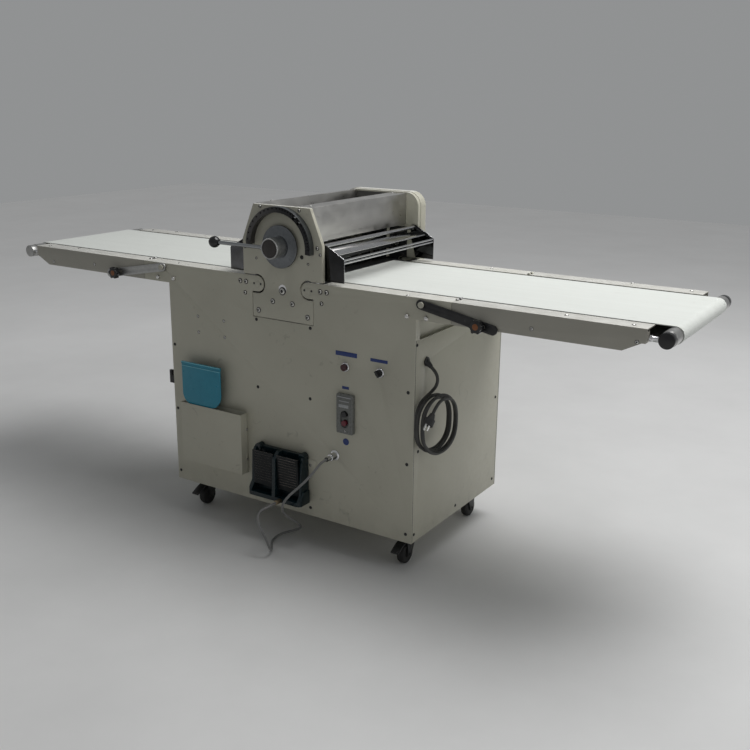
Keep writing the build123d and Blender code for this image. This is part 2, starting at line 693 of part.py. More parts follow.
for t in (-1, 1):
    ys = sorted((t * (face_y - 3.5), t * (face_y - 25.5)))
    cap = rod_y(end_roller_x, belt_z, 21, ys[0], ys[1])
    bore = sorted((t * (face_y - 11), t * (face_y - 27)))
    cap -= rod_y(end_roller_x, belt_z, 6 + run_fit, bore[0], bore[1])
    stud = rod_x(t * stud_y, belt_z, 6, rail_out - 38, end_roller_x - 19)
    nut = slab_x(Pos(t * stud_y, belt_z) * RegularPolygon(9.5, 6), rail_out + 2, rail_out + 10)
    caps.append(cap + stud + nut)
for s, side in ((1, "right"), (-1, "left")):
    bx, bz = stay_b[s]
    frame = weld + rod_y(bx, bz, 5, -face_y - 17, -face_y + 1)
    pin = fold_pin + at_back(fold_pin)
    pieces = [frame - fold_bore - at_back(fold_bore), bed, pin] + caps
    if s < 0:
        pieces = [other_side(p) for p in pieces]
    write(f"{side}_table_frame", *pieces)
    roller = rod_y(end_roller_x, belt_z, conveyor_roll, -face_y + 28, face_y - 28)
    roller += rod_y(end_roller_x, belt_z, 6, -face_y + 12, face_y - 12)
    write(f"{side}_end_roller", roller if s > 0 else other_side(roller))

# Stays: slotted bars from the wing to a stud on the rail, clamped with lobed knobs.
for s, side in ((1, "right"), (-1, "left")):
    ax, az = stay_a[s]
    bx, bz = stay_b[s]
    dist = []
    for n in range(91):
        t = math.radians(n)
        px = fold_x + (bx - fold_x) * math.cos(t) - (bz - table_height) * math.sin(t)
        pz = table_height + (bx - fold_x) * math.sin(t) + (bz - table_height) * math.cos(t)
        dist.append(math.hypot(px - ax, pz - az))
    lean = math.degrees(math.atan2(bz - az, bx - ax))
    far = max(dist) + 26
    bar = Pos(far / 2, 0) * RectangleRounded(far + 34, 28, 13.9)
    cut = (min(dist) + max(dist)) / 2
    bar -= Pos(cut, 0) * SlotCenterToCenter(max(dist) - min(dist) + 1, 12.2)
    bar -= Circle(5 + run_fit)
    bar = Pos(ax, az) * Rot(0, 0, lean) * bar
    stay = slab_y(bar, -face_y - 7, -face_y - 2)
    write(f"{side}_stay", stay if s > 0 else other_side(stay))
    grip = Circle(17)
    for n in range(6):
        grip += Pos(15.5 * math.cos(n * math.pi / 3), 15.5 * math.sin(n * math.pi / 3)) * Circle(5.5)
    knob = slab_y(Pos(bx, bz) * grip, -face_y - 29, -face_y - 13)
    knob += rod_y(bx, bz, 11, -face_y - 14, -face_y - 7.4)
    knob -= rod_y(bx, bz, 5 + run_fit, -face_y - 17.3, -face_y - 5)
    write(f"{side}_stay_knob", knob if s > 0 else other_side(knob))

# Finger guards: side plates on pivot pins, cover strip near the hinge, middle bar and double front bar.
guard_y = plate_in - 3.5
cheek = area([(guard_x - 7, guard_z + 6), (guard_x + 10, guard_z + 3), (212, guard_z - 28),
              (214.5, guard_z - 34), (214.5, table_height + 5), (152, table_height + 5),
              (guard_x - 8, guard_z - 22)])
guard = None
for t in (-1, 1):
    ys = sorted((t * guard_y, t * (guard_y - 2)))
    one = slab_y(cheek, ys[0], ys[1])
    yp = sorted((t * (guard_y - 1), t * (plate_in + 7)))
    one += rod_y(guard_x, guard_z, 4, yp[0], yp[1])
    guard = one if guard is None else guard + one
strip = area([(guard_x + 2, guard_z + 3.2), (guard_x + 33, guard_z - 9.5), (guard_x + 32.2, guard_z - 11.4),
              (guard_x + 1.4, guard_z + 1.2)])
guard += slab_y(strip, -guard_y + 1, guard_y - 1)
for x, z in ((185.0, guard_z - 19.5), (203.0, guard_z - 28.0), (211.0, guard_z - 36.0)):
    guard += rod_y(x, z, 3, -guard_y + 1, guard_y - 1)
write("right_guard", guard)
write("left_guard", other_side(guard))

# Gear motor on the shelf, with its output sprocket.
drive = box(-55, 55, 70, 200, shelf_z, shelf_z + 150)
drive += rod_y(0, shelf_z + 70, 62, -150, 75) + box(-50, 50, -120, 60, shelf_z, shelf_z + 20)
drive += box(62 - 8, 62 + 26, -60, 20, shelf_z + 40, shelf_z + 110)
drive -= rod_y(0, motor_z, 10 + run_fit, 60, 205)
write("gear_motor", drive)
pinion = rod_y(0, motor_z, 10, 90, chain_1 + 5) + sprocket(0, motor_z, motor_r, chain_1 + 0.5, chain_1 + 4.5)
write("motor_sprocket", pinion)

# Drive chains: motor to lower roll, jackshaft to upper roll, lower roll to both conveyors.
low_up = upper_z - gap_travel
chains = [
    loop_y([(0, motor_z, motor_r), (0, lower_z, big_r)], 0.5, 4.5, chain_1, chain_1 + 5),
    loop_y([(jack_x, jack_z, motor_r), (0, upper_z, motor_r), (0, low_up, motor_r)],
           0.5, 4, chain_1, chain_1 + 5),
    loop_y([(-drive_roll_x, belt_z, small_r), (0, lower_z, mid_r), (drive_roll_x, belt_z, small_r)],
           0.5, 4.5, chain_2, chain_2 + 5),
]
write("drive_chains", *chains)

# Control box behind the front panel.
relay_low_drop = 235.0
relay_high_drop = 150.0
relay_left = -half_w + 105.0
relay = box(relay_left, relay_left + 150, -web_y, -web_y + rail_set - 2, table_height - relay_low_drop,
            table_height - relay_high_drop)
write("control_box", relay)

# Switch housings: push-button station and two bezels with bushes through the panel.
station_x = 241.5
station_z_drop = 390.5
station_z = table_height - station_z_drop
case = Pos(station_x, station_z) * RectangleRounded(61, 127, 5)
station = slab_y(case, -face_y - 13.5, -face_y)
station = fillet(station.faces().sort_by(Axis.Y)[0].edges(), 2.5)
station += slab_y(Pos(station_x, station_z) * RectangleRounded(47, 108, 4), -face_y - 15, -face_y - 12)
button_x = station_x + 1.5
start_at = (button_x, station_z + 0.5)
stop_at = (button_x, station_z - 27.5)
well = Pos(button_x, station_z - 15.5) * Rot(0, 0, 90) * SlotCenterToCenter(25, 29)
station -= slab_y(well, -face_y - 16, -face_y - 9)
for bx, bz in (start_at, stop_at):
    station -= rod_y(bx, bz, 9.3, -face_y - 16, -face_y - 2)
bezels = []
for bx, bz in bezel_at:
    ring = rod_y(bx, bz, 15.5, -face_y - 6, -face_y) + rod_y(bx, bz, 12, -face_y - 1, -web_y + 8)
    ring += rod_y(bx, bz, 17, -web_y + 1, -web_y + 6)
    ring -= rod_y(bx, bz, 11.3, -face_y - 7, -face_y - 1.5)
    ring -= rod_y(bx, bz, 9, -face_y - 7, -web_y + 7)
    bezels.append(ring)
write("switch_housings", station, *bezels)
for name, (bx, bz) in (("start_button", start_at), ("stop_button", stop_at)):
    cap = rod_y(bx, bz, 9, -face_y - 20, -face_y - 7)
    write(name, fillet(cap.edges().sort_by(Axis.Y)[0], 1.5))
bx, bz = bezel_at[0]
red = rod_y(bx, bz, 10.9, -face_y - 13, -face_y - 6.5) + rod_y(bx, bz, 8.7, -face_y - 7, -web_y - 1)
write("red_button", fillet(red.edges().sort_by(Axis.Y)[0], 1.5))
bx, bz = bezel_at[1]
knob = rod_y(bx, bz, 10.9, -face_y - 12, -face_y - 6.5) + rod_y(bx, bz, 8.95, -face_y - 7, -web_y - 1)
knob += Pos(bx, -face_y - 15, bz) * Rot(0, -35, 0) * Box(7, 12, 21)
write("selector_knob", knob)

# Scraper pocket: folded sheet box on the front panel with a ledge for the bowl scraper.
pocket_l = -421.0
pocket_r = -156.0
pocket_low_drop = 673.0
pocket_low = table_height - pocket_low_drop
pocket_high_drop = 464.0
pocket_high = table_height - pocket_high_drop
pocket_depth = 34.0
pocket_sheet = 1.5
pocket_y = -face_y - pocket_depth
pocket = box(pocket_l, pocket_r, pocket_y, -face_y, pocket_low, pocket_high)
pocket -= box(pocket_l + pocket_sheet, pocket_r - pocket_sheet, pocket_y + pocket_sheet,
              -face_y - pocket_sheet, pocket_low + pocket_sheet, pocket_high + 1)
ledge_drop = 3.0
ledge_end = -236.0
ledge_z = pocket_high - ledge_drop
pocket += box(pocket_l + 1, ledge_end, pocket_y + 1, -face_y - 22, ledge_z - pocket_sheet, ledge_z)
clip_high = pocket_high - 29.0
for x0, x1 in ((pocket_l - pocket_sheet, pocket_l), (pocket_r, pocket_r + pocket_sheet)):
    pocket += box(x0, x1, -face_y - 11, -face_y, pocket_low, clip_high)
write("scraper_pocket", pocket)

# Bowl scraper standing on the ledge: straight top edge with a thicker rim, rounded below.
blade_w = 171.0
blade_h = 148.0
blade_left = 40.0             # radius of the lower left corner
blade_right = 54.0
blade_x = -327.0
blade_top = ledge_z + blade_h
blade_y = -face_y - 28.5
d_face = Pos(blade_x, ledge_z + blade_h / 2) * Rectangle(blade_w, blade_h)
d_face = fillet(d_face.vertices().group_by(Axis.Y)[0].sort_by(Axis.X)[0], blade_left)
d_face = fillet(d_face.vertices().group_by(Axis.Y)[0].sort_by(Axis.X)[-1], blade_right)
blade = slab_y(d_face, blade_y - 1.5, blade_y + 1.5)
blade += box(blade_x - blade_w / 2, blade_x + blade_w / 2, blade_y - 3.5, blade_y + 3.5,
             blade_top - 8, blade_top)
write("bowl_scraper", blade)

# Twin foot switch hung on a bracket, with two pedals hinged at their lower edge.
foot_l = -106.0
foot_r = 96.0
foot_low_drop = 719.0
foot_low = table_height - foot_low_drop
foot_high_drop = 550.0
foot_high = table_height - foot_high_drop
foot_mid = (foot_l + foot_r) / 2
foot_back = -face_y - 3
foot_wall = 14.0              # thickness of the back of the casing
foot_side = 9.0               # thickness of its cheeks
foot_web = 13.0               # thickness of the divider between the pedals
lip_reach = 58.0              # toe lip, from the bracket to its front edge
lip_rise = 44.0
lip_flare = 6.0               # the lip is wider than the casing on both sides
lip_floor = 14.0
ear_r = 13.0
bracket = box(foot_l + 22, foot_r - 22, foot_back, -face_y, foot_low + 16, foot_high - 16)
bracket += box(foot_l - 10, foot_r + 28, foot_back, -face_y, foot_high - 60, foot_high - 22)
back = Pos(foot_mid, (foot_low + foot_high - 7) / 2) * Rectangle(foot_r - foot_l, foot_high - 7 - foot_low)
back = fillet(back.vertices().group_by(Axis.Y)[-1], ear_r - 3)
casing = slab_y(back, foot_back - foot_wall, foot_back)
for x in (foot_l + ear_r, foot_r - ear_r):
    casing += rod_y(x, foot_high - ear_r, ear_r, foot_back - 22, foot_back)


def cut_x(points, x0, x1):
    """A slab of the foot switch: points are distance in front of the bracket and level."""
    return slab_x(area([(foot_back - y, z) for y, z in points]), x0, x1)


cheek_yz = [(10, foot_low + 20), (42, foot_low + 30), (36, foot_high - 30), (26, foot_high - 12),
            (10, foot_high - 8)]
side_yz = [(4, foot_low), (lip_reach, foot_low), (lip_reach, foot_low + 12), (34, foot_low + lip_rise),
           (4, foot_low + lip_rise)]
web_yz = [(10, foot_low), (lip_reach, foot_low), (lip_reach, foot_low + 14), (55, foot_low + lip_rise),
          (52, foot_high - 28), (30, foot_high - 8), (10, foot_high - 8)]
for x0, x1 in ((foot_l, foot_l + foot_side), (foot_r - foot_side, foot_r)):
    casing += cut_x(cheek_yz, x0, x1)
lip_l = foot_l - lip_flare
lip_r = foot_r + lip_flare
lip = box(lip_l, lip_r, foot_back - lip_reach, foot_back - 4, foot_low, foot_low + lip_floor)
lip += cut_x(side_yz, lip_l, foot_l + 8) + cut_x(side_yz, foot_r - 8, lip_r)
plan = Pos(foot_mid, foot_back - lip_reach / 2) * Rectangle(lip_r - lip_l, lip_reach)
plan = fillet(plan.vertices().group_by(Axis.Y)[0], 14)
casing += lip & slab_z(plan, foot_low - 1, foot_low + lip_rise + 1)
casing += cut_x(web_yz, foot_mid - foot_web / 2, foot_mid + foot_web / 2)
hinge_y = foot_back - 32
hinge_z = foot_low + 42
casing -= rod_x(hinge_y, hinge_z, 3 + run_fit, foot_l + 2, foot_r - 2)
write("foot_switch_body", bracket, casing)
pedal_in = foot_side + 1
pedal_mid = foot_web / 2 + 1
tread_low = hinge_z - 4
tread_high = foot_high - 14
tread_yz = [(42, tread_low), (48, tread_high), (43, tread_high), (32, hinge_z + 8), (32, tread_low)]
ribs = 11
rib_step = (tread_high - 14 - hinge_z) / ribs
for side, x0, x1 in (("left", foot_l + pedal_in, foot_mid - pedal_mid),
                     ("right", foot_mid + pedal_mid, foot_r - pedal_in)):
    pedal = cut_x(tread_yz, x0, x1) + rod_x(hinge_y, hinge_z, 7, x0, x1)
    pedal += rod_x(hinge_y, hinge_z, 3, x0 - 7, x1 + 7)
    for n in range(ribs):
        z = hinge_z + 10 + n * rib_step
        y = foot_back - 42 - 6 * (z - tread_low) / (tread_high - tread_low)
        pedal += box(x0 + 7, x1 - 7, y - 1.5, y + 3, z, z + 4)
    write(f"{side}_foot_pedal", pedal)

# Cable fittings: panel socket with coupling nut, foot switch gland, power lead grommet.
socket = rod_y(socket_x, socket_z, 8, -face_y - 1, -web_y + 6)
socket += rod_y(socket_x, socket_z, 13, -face_y - 5, -face_y)
socket += rod_y(socket_x, socket_z, 11, -face_y - 28, -face_y - 4)
socket += rod_y(socket_x, socket_z, 7.5, -face_y - 48, -face_y - 27)
foot_gland_x = 24.0
foot_gland_z = foot_low + 8.0
foot_gland_y = -face_y - foot_reach
gland = rod_y(foot_gland_x, foot_gland_z, 7.5, foot_gland_y + 3, foot_back - lip_reach)
gland += rod_y(foot_gland_x, foot_gland_z, 6, foot_gland_y, foot_gland_y + 4)
boot_dir = Vector(0.766, 0, -0.643)
boot_plane = Plane(origin=(half_w, gland_y, gland_z), z_dir=boot_dir)
boot_long = 22.0
boot = boot_plane * (Pos(0, 0, boot_long / 2 - 5) * Cone(12, 6.5, boot_long + 10))
boot = boot & box(half_w, half_w + 60, gland_y - 30, gland_y + 30, gland_z - 40, gland_z + 40)
boot += rod_x(gland_y, gland_z, 14, half_w, half_w + 4) + rod_x(gland_y, gland_z, 9, half_w - 6, half_w + 1)
write("cable_fittings", socket, gland, boot)

# Foot switch cable: from the panel socket down, looped on the floor and up into the gland.
cable_d = 8.0


def tube(points, diameter, name):
    """A cable of straight runs and tangent arcs through the given corner points."""
    radii = []
    for i in range(1, len(points) - 1):
        a = Vector(*points[i]) - Vector(*points[i - 1])
        b = Vector(*points[i + 1]) - Vector(*points[i])
        turn = math.radians(a.get_angle(b))
        radii.append(0.45 * min(a.length, b.length) / math.tan(turn / 2))
    path = FilletPolyline(*points, radius=radii)
    start = Plane(origin=path @ 0, z_dir=path % 0)
    body = sweep(start * Circle(diameter / 2), path=path)
    print(name, "length", round(path.length, 1), "least radius", round(min(radii), 1),
          "volume ratio", round(body.volume / (math.pi * diameter ** 2 / 4 * path.length), 4))
    return body


sy = -face_y - 48
cable_points = [(socket_x, sy, socket_z), (socket_x, sy - 26, socket_z), (192, sy - 47, socket_z - 18),
                (170, sy - 58, socket_z - 50), (134, sy - 62, socket_z - 88), (98, sy - 62, socket_z - 122),
                (68, sy - 56, socket_z - 158), (50, sy - 38, socket_z - 196), (48, sy - 4, socket_z - 230),
                (60, sy + 32, 78), (50, sy + 66, 44), (12, sy + 76, 20), (-26, sy + 50, 9),
                (-26, sy + 4, 5.0), (0, sy - 34, 4.6), (28, sy - 68, 9), (44, sy - 98, 34),
                (38, sy - 108, 70), (18, sy - 108, 100), (4, sy - 107, foot_low - 29),
                (8, sy - 99, foot_low),
                (foot_gland_x, foot_gland_y - 38, foot_gland_z), (foot_gland_x, foot_gland_y, foot_gland_z)]
foot_cable = tube(cable_points, cable_d, "foot_cable")
write("foot_cable", foot_cable)

# Power lead: free stretch from the grommet, then a hanging coil of loose turns, then the plug.
lead_d = 10.0
turns = 3
coil_z_drop = 387.5
coil_z = table_height - coil_z_drop
coil_rise = 14.0
left_0 = Vector(half_w + 8, gland_y - 69, 0)
right_0 = Vector(half_w + 36, gland_y + 69, 0)
along = (right_0 - left_0).normalized()
outward = Vector(along.Y, -along.X, 0)
step = lead_d + 1.4
left_shift = (0, 5, -3, 6, 1)
right_shift = (0, -4, 5, -2, 4)


def left_at(k, z):
    """Left side of turn k at height z."""
    return left_0 + outward * (step * k) - along * left_shift[k] + Vector(0, 0, z)


def right_at(k, z):
    """Right side of turn k at height z."""
    return right_0 + outward * (step * k + step / 2) + along * right_shift[k] + Vector(0, 0, z)


def half_turn(a, b, rise):
    """Half round from a to b, over the top or under the bottom."""
    middle = (a + b) * 0.5 + Vector(0, 0, rise * (b - a).length / 2)
    return ThreePointArc(a, middle, b)


high = coil_z + coil_rise
low = coil_z - coil_rise
tip = Vector(half_w, gland_y, gland_z) + boot_dir * boot_long
bend = tip + boot_dir * 21
lead_points = [tuple(tip), tuple(bend), (half_w + 40, gland_y + 1, gland_z - 48),
               (half_w + 35, gland_y + 2, gland_z - 70), (half_w + 22, gland_y - 2, gland_z - 88),
               (half_w + 13, gland_y - 15, gland_z - 101), (half_w + 8, gland_y - 35, gland_z - 111),
               (half_w + 8, gland_y - 55, high + 44.5), (left_0.X, left_0.Y, high + 20.5),
               (left_0.X, left_0.Y, high)]
power_lead = tube(lead_points, lead_d, "power_lead")
write("power_lead", power_lead)

pieces = []
for k in range(turns + 1):
    pieces.append(Line(left_at(k, high), left_at(k, low)))
    pieces.append(half_turn(left_at(k, low), right_at(k, low), -1))
    pieces.append(Line(right_at(k, low), right_at(k, high)))
    if k < turns:
        pieces.append(half_turn(right_at(k, high), left_at(k + 1, high), 1))
a = right_at(turns, high)
b = left_at(turns + 1, high) + outward * 12
reach = (b - a).length / 2
centre = (a + b) * 0.5
side = (a - b).normalized()
stop_turn = math.radians(138)


def on_last(angle):
    """Point of the last part turn."""
    return centre + side * (reach * math.cos(angle)) + Vector(0, 0, reach * math.sin(angle))


pieces.append(ThreePointArc(a, on_last(stop_turn / 2), on_last(stop_turn)))
tail = on_last(stop_turn)
heading = (side * -math.sin(stop_turn) + Vector(0, 0, math.cos(stop_turn))).normalized()
pieces.append(Line(tail, tail + heading * lead_d))
coil_path = Wire(Wire.combine([p if isinstance(p, Edge) else p.edge() for p in pieces])[0].edges())
coil_start = Plane(origin=coil_path @ 0, z_dir=coil_path % 0)
power_coil = sweep(coil_start * Circle(lead_d / 2), path=coil_path)
marks = []
total = coil_path.length
for n in range(int(total / 3)):
    marks.append((n * 3, coil_path.position_at(n * 3 / total)))
nearest = 1e9
for i, (si, p) in enumerate(marks):
    for sj, q in marks[i + 1:]:
        if sj - si > 60:
            nearest = min(nearest, (p - q).length)
print("power_coil length", round(total, 1), "least own gap", round(nearest - lead_d, 2),
      "volume ratio", round(power_coil.volume / (math.pi * lead_d ** 2 / 4 * total), 4))
write("power_coil", power_coil)

plug_at = tail + heading * lead_d
plug_plane = Plane(origin=plug_at, x_dir=outward, z_dir=heading)
plug = plug_plane * (Pos(0, 0, 9) * Cone(7, 12, 18) + Pos(0, 0, 28) * Cylinder(15, 20))
for x, y in ((-6, 0), (6, 0)):
    plug += plug_plane * (Pos(x, y, 46) * Box(1.6, 6.4, 18))
plug += plug_plane * (Pos(0, 9, 47) * Cylinder(2.4, 20))
write("power_plug", plug)
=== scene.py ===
import json
import math

import bmesh
import bpy
from mathutils import Matrix, Vector
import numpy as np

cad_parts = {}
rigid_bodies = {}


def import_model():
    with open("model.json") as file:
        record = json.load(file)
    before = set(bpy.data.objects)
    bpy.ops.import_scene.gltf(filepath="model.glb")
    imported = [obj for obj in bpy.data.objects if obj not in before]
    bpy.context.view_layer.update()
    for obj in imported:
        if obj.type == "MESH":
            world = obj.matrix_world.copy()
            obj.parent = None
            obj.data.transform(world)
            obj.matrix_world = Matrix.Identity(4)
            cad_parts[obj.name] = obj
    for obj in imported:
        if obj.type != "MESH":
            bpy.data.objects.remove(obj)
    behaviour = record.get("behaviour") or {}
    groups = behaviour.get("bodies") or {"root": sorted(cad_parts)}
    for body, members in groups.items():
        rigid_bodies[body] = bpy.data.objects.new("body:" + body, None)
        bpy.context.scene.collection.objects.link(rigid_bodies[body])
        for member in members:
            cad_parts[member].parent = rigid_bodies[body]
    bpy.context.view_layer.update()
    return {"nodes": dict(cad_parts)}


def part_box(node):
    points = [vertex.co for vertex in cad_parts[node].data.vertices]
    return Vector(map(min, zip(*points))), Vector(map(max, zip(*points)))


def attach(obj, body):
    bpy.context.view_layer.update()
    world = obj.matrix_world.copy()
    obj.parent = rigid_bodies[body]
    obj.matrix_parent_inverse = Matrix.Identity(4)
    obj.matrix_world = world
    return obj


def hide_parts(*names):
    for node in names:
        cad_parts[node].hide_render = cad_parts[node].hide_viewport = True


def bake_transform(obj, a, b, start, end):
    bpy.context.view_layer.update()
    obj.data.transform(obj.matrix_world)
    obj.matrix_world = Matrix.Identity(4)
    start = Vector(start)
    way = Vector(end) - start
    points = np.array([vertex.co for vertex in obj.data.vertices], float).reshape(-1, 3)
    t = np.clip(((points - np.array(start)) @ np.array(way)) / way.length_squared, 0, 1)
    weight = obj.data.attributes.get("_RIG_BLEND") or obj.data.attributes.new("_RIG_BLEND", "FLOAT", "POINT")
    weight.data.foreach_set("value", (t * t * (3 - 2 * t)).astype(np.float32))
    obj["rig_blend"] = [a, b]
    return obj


for old in list(bpy.data.objects):
    bpy.data.objects.remove(old)
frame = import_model()


# Base frame: a welded steel floor tray with corner posts, cross rails, motor shelf and head beams.
# It is painted like the cabinet and is seen only from below, with the four caster plates under it.
mid = 0.0235                     # the machine's middle plane lies a little behind the origin
front = mid - 0.2875             # outer faces of the front and rear panels
rear = mid + 0.2875


def fill(socket, value):
    """Links an input to another socket, or sets it to a number, a vector or a colour."""
    if isinstance(value, bpy.types.NodeSocket):
        socket.id_data.links.new(value, socket)
    elif socket.type == "RGBA":
        socket.default_value = (*value, 1.0)
    else:
        socket.default_value = value


def added(tree, kind, mode=None, **inputs):
    """A new shader node with its inputs filled; an underscore in a name stands for a space."""
    made = tree.nodes.new(f"ShaderNode{kind}")
    if mode:
        made.operation = mode
    for name, value in inputs.items():
        fill(made.inputs[name.replace("_", " ")], value)
    return made


def maths(tree, mode, *values):
    """The result of one sum on sockets or numbers."""
    made = added(tree, "Math", mode)
    for socket, value in zip(made.inputs, values):
        fill(socket, value)
    return made.outputs["Value"]


def ranged(tree, value, low, high, start=0.0, end=1.0):
    """A value from start to end, spread over low to high."""
    spread = added(tree, "MapRange", Value=value, From_Min=start, From_Max=end, To_Min=low, To_Max=high)
    return spread.outputs["Result"]


def object_place(tree):
    """The place on the object, in metres."""
    return added(tree, "TexCoord").outputs["Object"]


def value_group(name, output, **inputs):
    """An empty shader group with one output; its inputs are numbers or vectors."""
    group = bpy.data.node_groups.new(name, "ShaderNodeTree")
    for label, default in inputs.items():
        kind = "NodeSocketVector" if isinstance(default, tuple) else "NodeSocketFloat"
        group.interface.new_socket(name=label, in_out="INPUT", socket_type=kind).default_value = default
    group.interface.new_socket(name=output, in_out="OUTPUT", socket_type="NodeSocketFloat")
    return group, group.nodes.new("NodeGroupInput"), group.nodes.new("NodeGroupOutput")


# cloudy unevenness of a coat or sheet, from 0 to 1
mottle, taken, given = value_group("mottle", "Value", Scale=8.0)
cloud = added(mottle, "TexNoise", Vector=object_place(mottle), Scale=taken.outputs["Scale"], Detail=5.0, Roughness=0.6)
fill(given.inputs["Value"], ranged(mottle, cloud.outputs["Fac"], 0.0, 1.0, 0.3, 0.7))

# long fine lines left by brushing, rolling or wiping; the stretch sets their direction
strokes, taken, given = value_group("strokes", "Value", Stretch=(1.0, 1.0, 1.0))
lay = added(strokes, "VectorMath", "MULTIPLY")
fill(lay.inputs[0], object_place(strokes))
fill(lay.inputs[1], taken.outputs["Stretch"])
hairs = added(strokes, "TexNoise", Vector=lay.outputs["Vector"], Scale=1.0, Detail=4.0)
fill(given.inputs["Value"], hairs.outputs["Fac"])

# rubbed spots and short scratches, as a mask
scuffs, taken, given = value_group("scuffs", "Mask", Scale=20.0, Amount=0.5)
place = object_place(scuffs)
patch = added(scuffs, "TexNoise", Vector=place, Scale=5.0).outputs["Fac"]
scratch = added(scuffs, "TexNoise", Vector=place, Scale=taken.outputs["Scale"], Detail=8.0, Distortion=1.5)
scratch = ranged(scuffs, scratch.outputs["Fac"], 0.0, 1.0, 0.63, 0.74)
both = maths(scuffs, "MULTIPLY", scratch, ranged(scuffs, patch, 0.0, 1.0, 0.45, 0.6))
fill(given.inputs["Mask"], maths(scuffs, "MULTIPLY", both, taken.outputs["Amount"]))


def shared(tree, group, **values):
    """What a shared group puts out in a material, with its own values."""
    made = added(tree, "Group")
    made.node_tree = group
    for name, value in values.items():
        made.inputs[name].default_value = value
    return made.outputs[0]


def finish_of(name, roughness, metallic=0.0):
    """A new material with its node tree and its shader."""
    made = bpy.data.materials.new(name)
    made.use_nodes = True
    shader = made.node_tree.nodes["Principled BSDF"]
    shader.inputs["Roughness"].default_value = roughness
    shader.inputs["Metallic"].default_value = metallic
    return made, made.node_tree, shader


def blended(tree, mask, first, second):
    """Colour that goes from first to second by a mask; either may be a colour or a socket."""
    mix = added(tree, "Mix")
    mix.data_type = "RGBA"
    fill(mix.inputs["Factor"], mask)
    for socket, value in zip([s for s in mix.inputs if s.type == "RGBA"], (first, second)):
        fill(socket, value)
    return [s for s in mix.outputs if s.type == "RGBA"][0]


def embossed(tree, shader, height, depth, strength):
    """Fine relief on the surface."""
    bump = added(tree, "Bump", Height=height, Distance=depth, Strength=strength)
    fill(shader.inputs["Normal"], bump.outputs["Normal"])


def painted_on(tree, name, low, high, scale):
    """A value that was set on a piece's faces, broken up by clouds between low and high."""
    made = added(tree, "Attribute")
    made.attribute_name = name
    clouds = ranged(tree, shared(tree, mottle, Scale=scale), low, high)
    return maths(tree, "MULTIPLY", made.outputs["Fac"], clouds)


def coated(name, colour, dark, roughness):
    """Baked enamel on sheet steel: cloudy, scuffed, dirty near the floor, rubbed on its edges, paler on level tops as
    painted top light with some flour dust.
    """
    made, tree, shader = finish_of(name, roughness)
    body = blended(tree, ranged(tree, shared(tree, mottle, Scale=5.0), 0.0, 0.55), colour, dark)
    body = blended(tree, shared(tree, scuffs, Scale=28.0, Amount=0.55), body, tuple(0.62 * c for c in dark))
    height = added(tree, "SeparateXYZ", Vector=object_place(tree)).outputs["Z"]
    dirt = maths(tree, "MULTIPLY", ranged(tree, height, 0.0, 0.3, 0.20, 0.10), shared(tree, mottle, Scale=18.0))
    body = blended(tree, dirt, body, tuple(0.45 * c for c in dark))
    worn = painted_on(tree, "edge", -0.3, 0.6, 30.0)
    worn.node.use_clamp = True
    body = blended(tree, worn, body, (0.36, 0.34, 0.30))
    # level tops are painted paler: painted light from above, partly flour dust
    body = blended(tree, painted_on(tree, "level", 0.55, 1.0, 16.0), body, (0.74, 0.735, 0.69))
    fill(shader.inputs["Base Color"], body)
    grain = shared(tree, mottle, Scale=60.0)
    fill(shader.inputs["Roughness"], ranged(tree, grain, roughness - 0.06, roughness + 0.10))
    embossed(tree, shader, shared(tree, mottle, Scale=520.0), 0.0002, 0.25)
    return made


ivory = coated("ivory_enamel", (0.545, 0.53, 0.44), (0.465, 0.45, 0.367), 0.42)


def copied(node, keep=None):
    """A merged copy of a CAD solid's surface; keep picks solids by their low and high corners."""
    bm = bmesh.new()
    bm.from_mesh(frame["nodes"][node].data)
    bmesh.ops.remove_doubles(bm, verts=bm.verts, dist=1e-6)
    if keep:
        left = set(bm.verts)
        gone = []
        while left:
            first = left.pop()
            island = [first]
            todo = [first]
            while todo:
                for e in todo.pop().link_edges:
                    for v in e.verts:
                        if v in left:
                            left.discard(v)
                            island.append(v)
                            todo.append(v)
            low = Vector([min(v.co[i] for v in island) for i in range(3)])
            high = Vector([max(v.co[i] for v in island) for i in range(3)])
            if not keep(low, high):
                gone.extend(island)
        bmesh.ops.delete(bm, geom=gone, context="VERTS")
    bmesh.ops.dissolve_limit(bm, angle_limit=math.radians(1.0), verts=bm.verts, edges=bm.edges)
    return bm


def eased(bm, width, segments=2):
    """Rounds over the sharp edges, marks the rounding as worn edge and the level tops for painted top light."""
    rim = bm.faces.layers.float.get("edge") or bm.faces.layers.float.new("edge")
    sharp = [e for e in bm.edges if len(e.link_faces) == 2 and e.calc_face_angle(0.0) > math.radians(35)]
    done = bmesh.ops.bevel(bm, geom=sharp, offset=width, offset_type="OFFSET", affect="EDGES",
                           segments=segments, profile=0.5, material=-1, clamp_overlap=True)
    for face in done["faces"]:
        face[rim] = 1.0
    bm.normal_update()
    level = bm.faces.layers.float.get("level") or bm.faces.layers.float.new("level")
    for face in bm.faces:
        face[level] = 1.0 if face.normal.z > 0.95 else 0.0
    return bm


def as_object(bm, name, angle, *materials):
    """The worked mesh as an object in the scene, smooth up to an angle."""
    mesh = bpy.data.meshes.new(name)
    bm.to_mesh(mesh)
    bm.free()
    mesh.shade_smooth()
    mesh.set_sharp_from_angle(angle=math.radians(angle))
    for material in materials:
        mesh.materials.append(material)
    obj = bpy.data.objects.new(name, mesh)
    bpy.context.scene.collection.objects.link(obj)
    return obj


def piece(bm, name, material, body, nodes=(), others=()):
    """A piece that rides on its body; others are the materials of its marked faces."""
    obj = as_object(bm, name, 38, material, *others)
    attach(obj, body)
    if nodes:
        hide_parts(*nodes)
    return obj


def refinish(node, material):
    """A CAD solid that keeps its shape and gets the real finish."""
    for slot in frame["nodes"][node].material_slots:
        slot.material = material


refinish("base_frame", ivory)


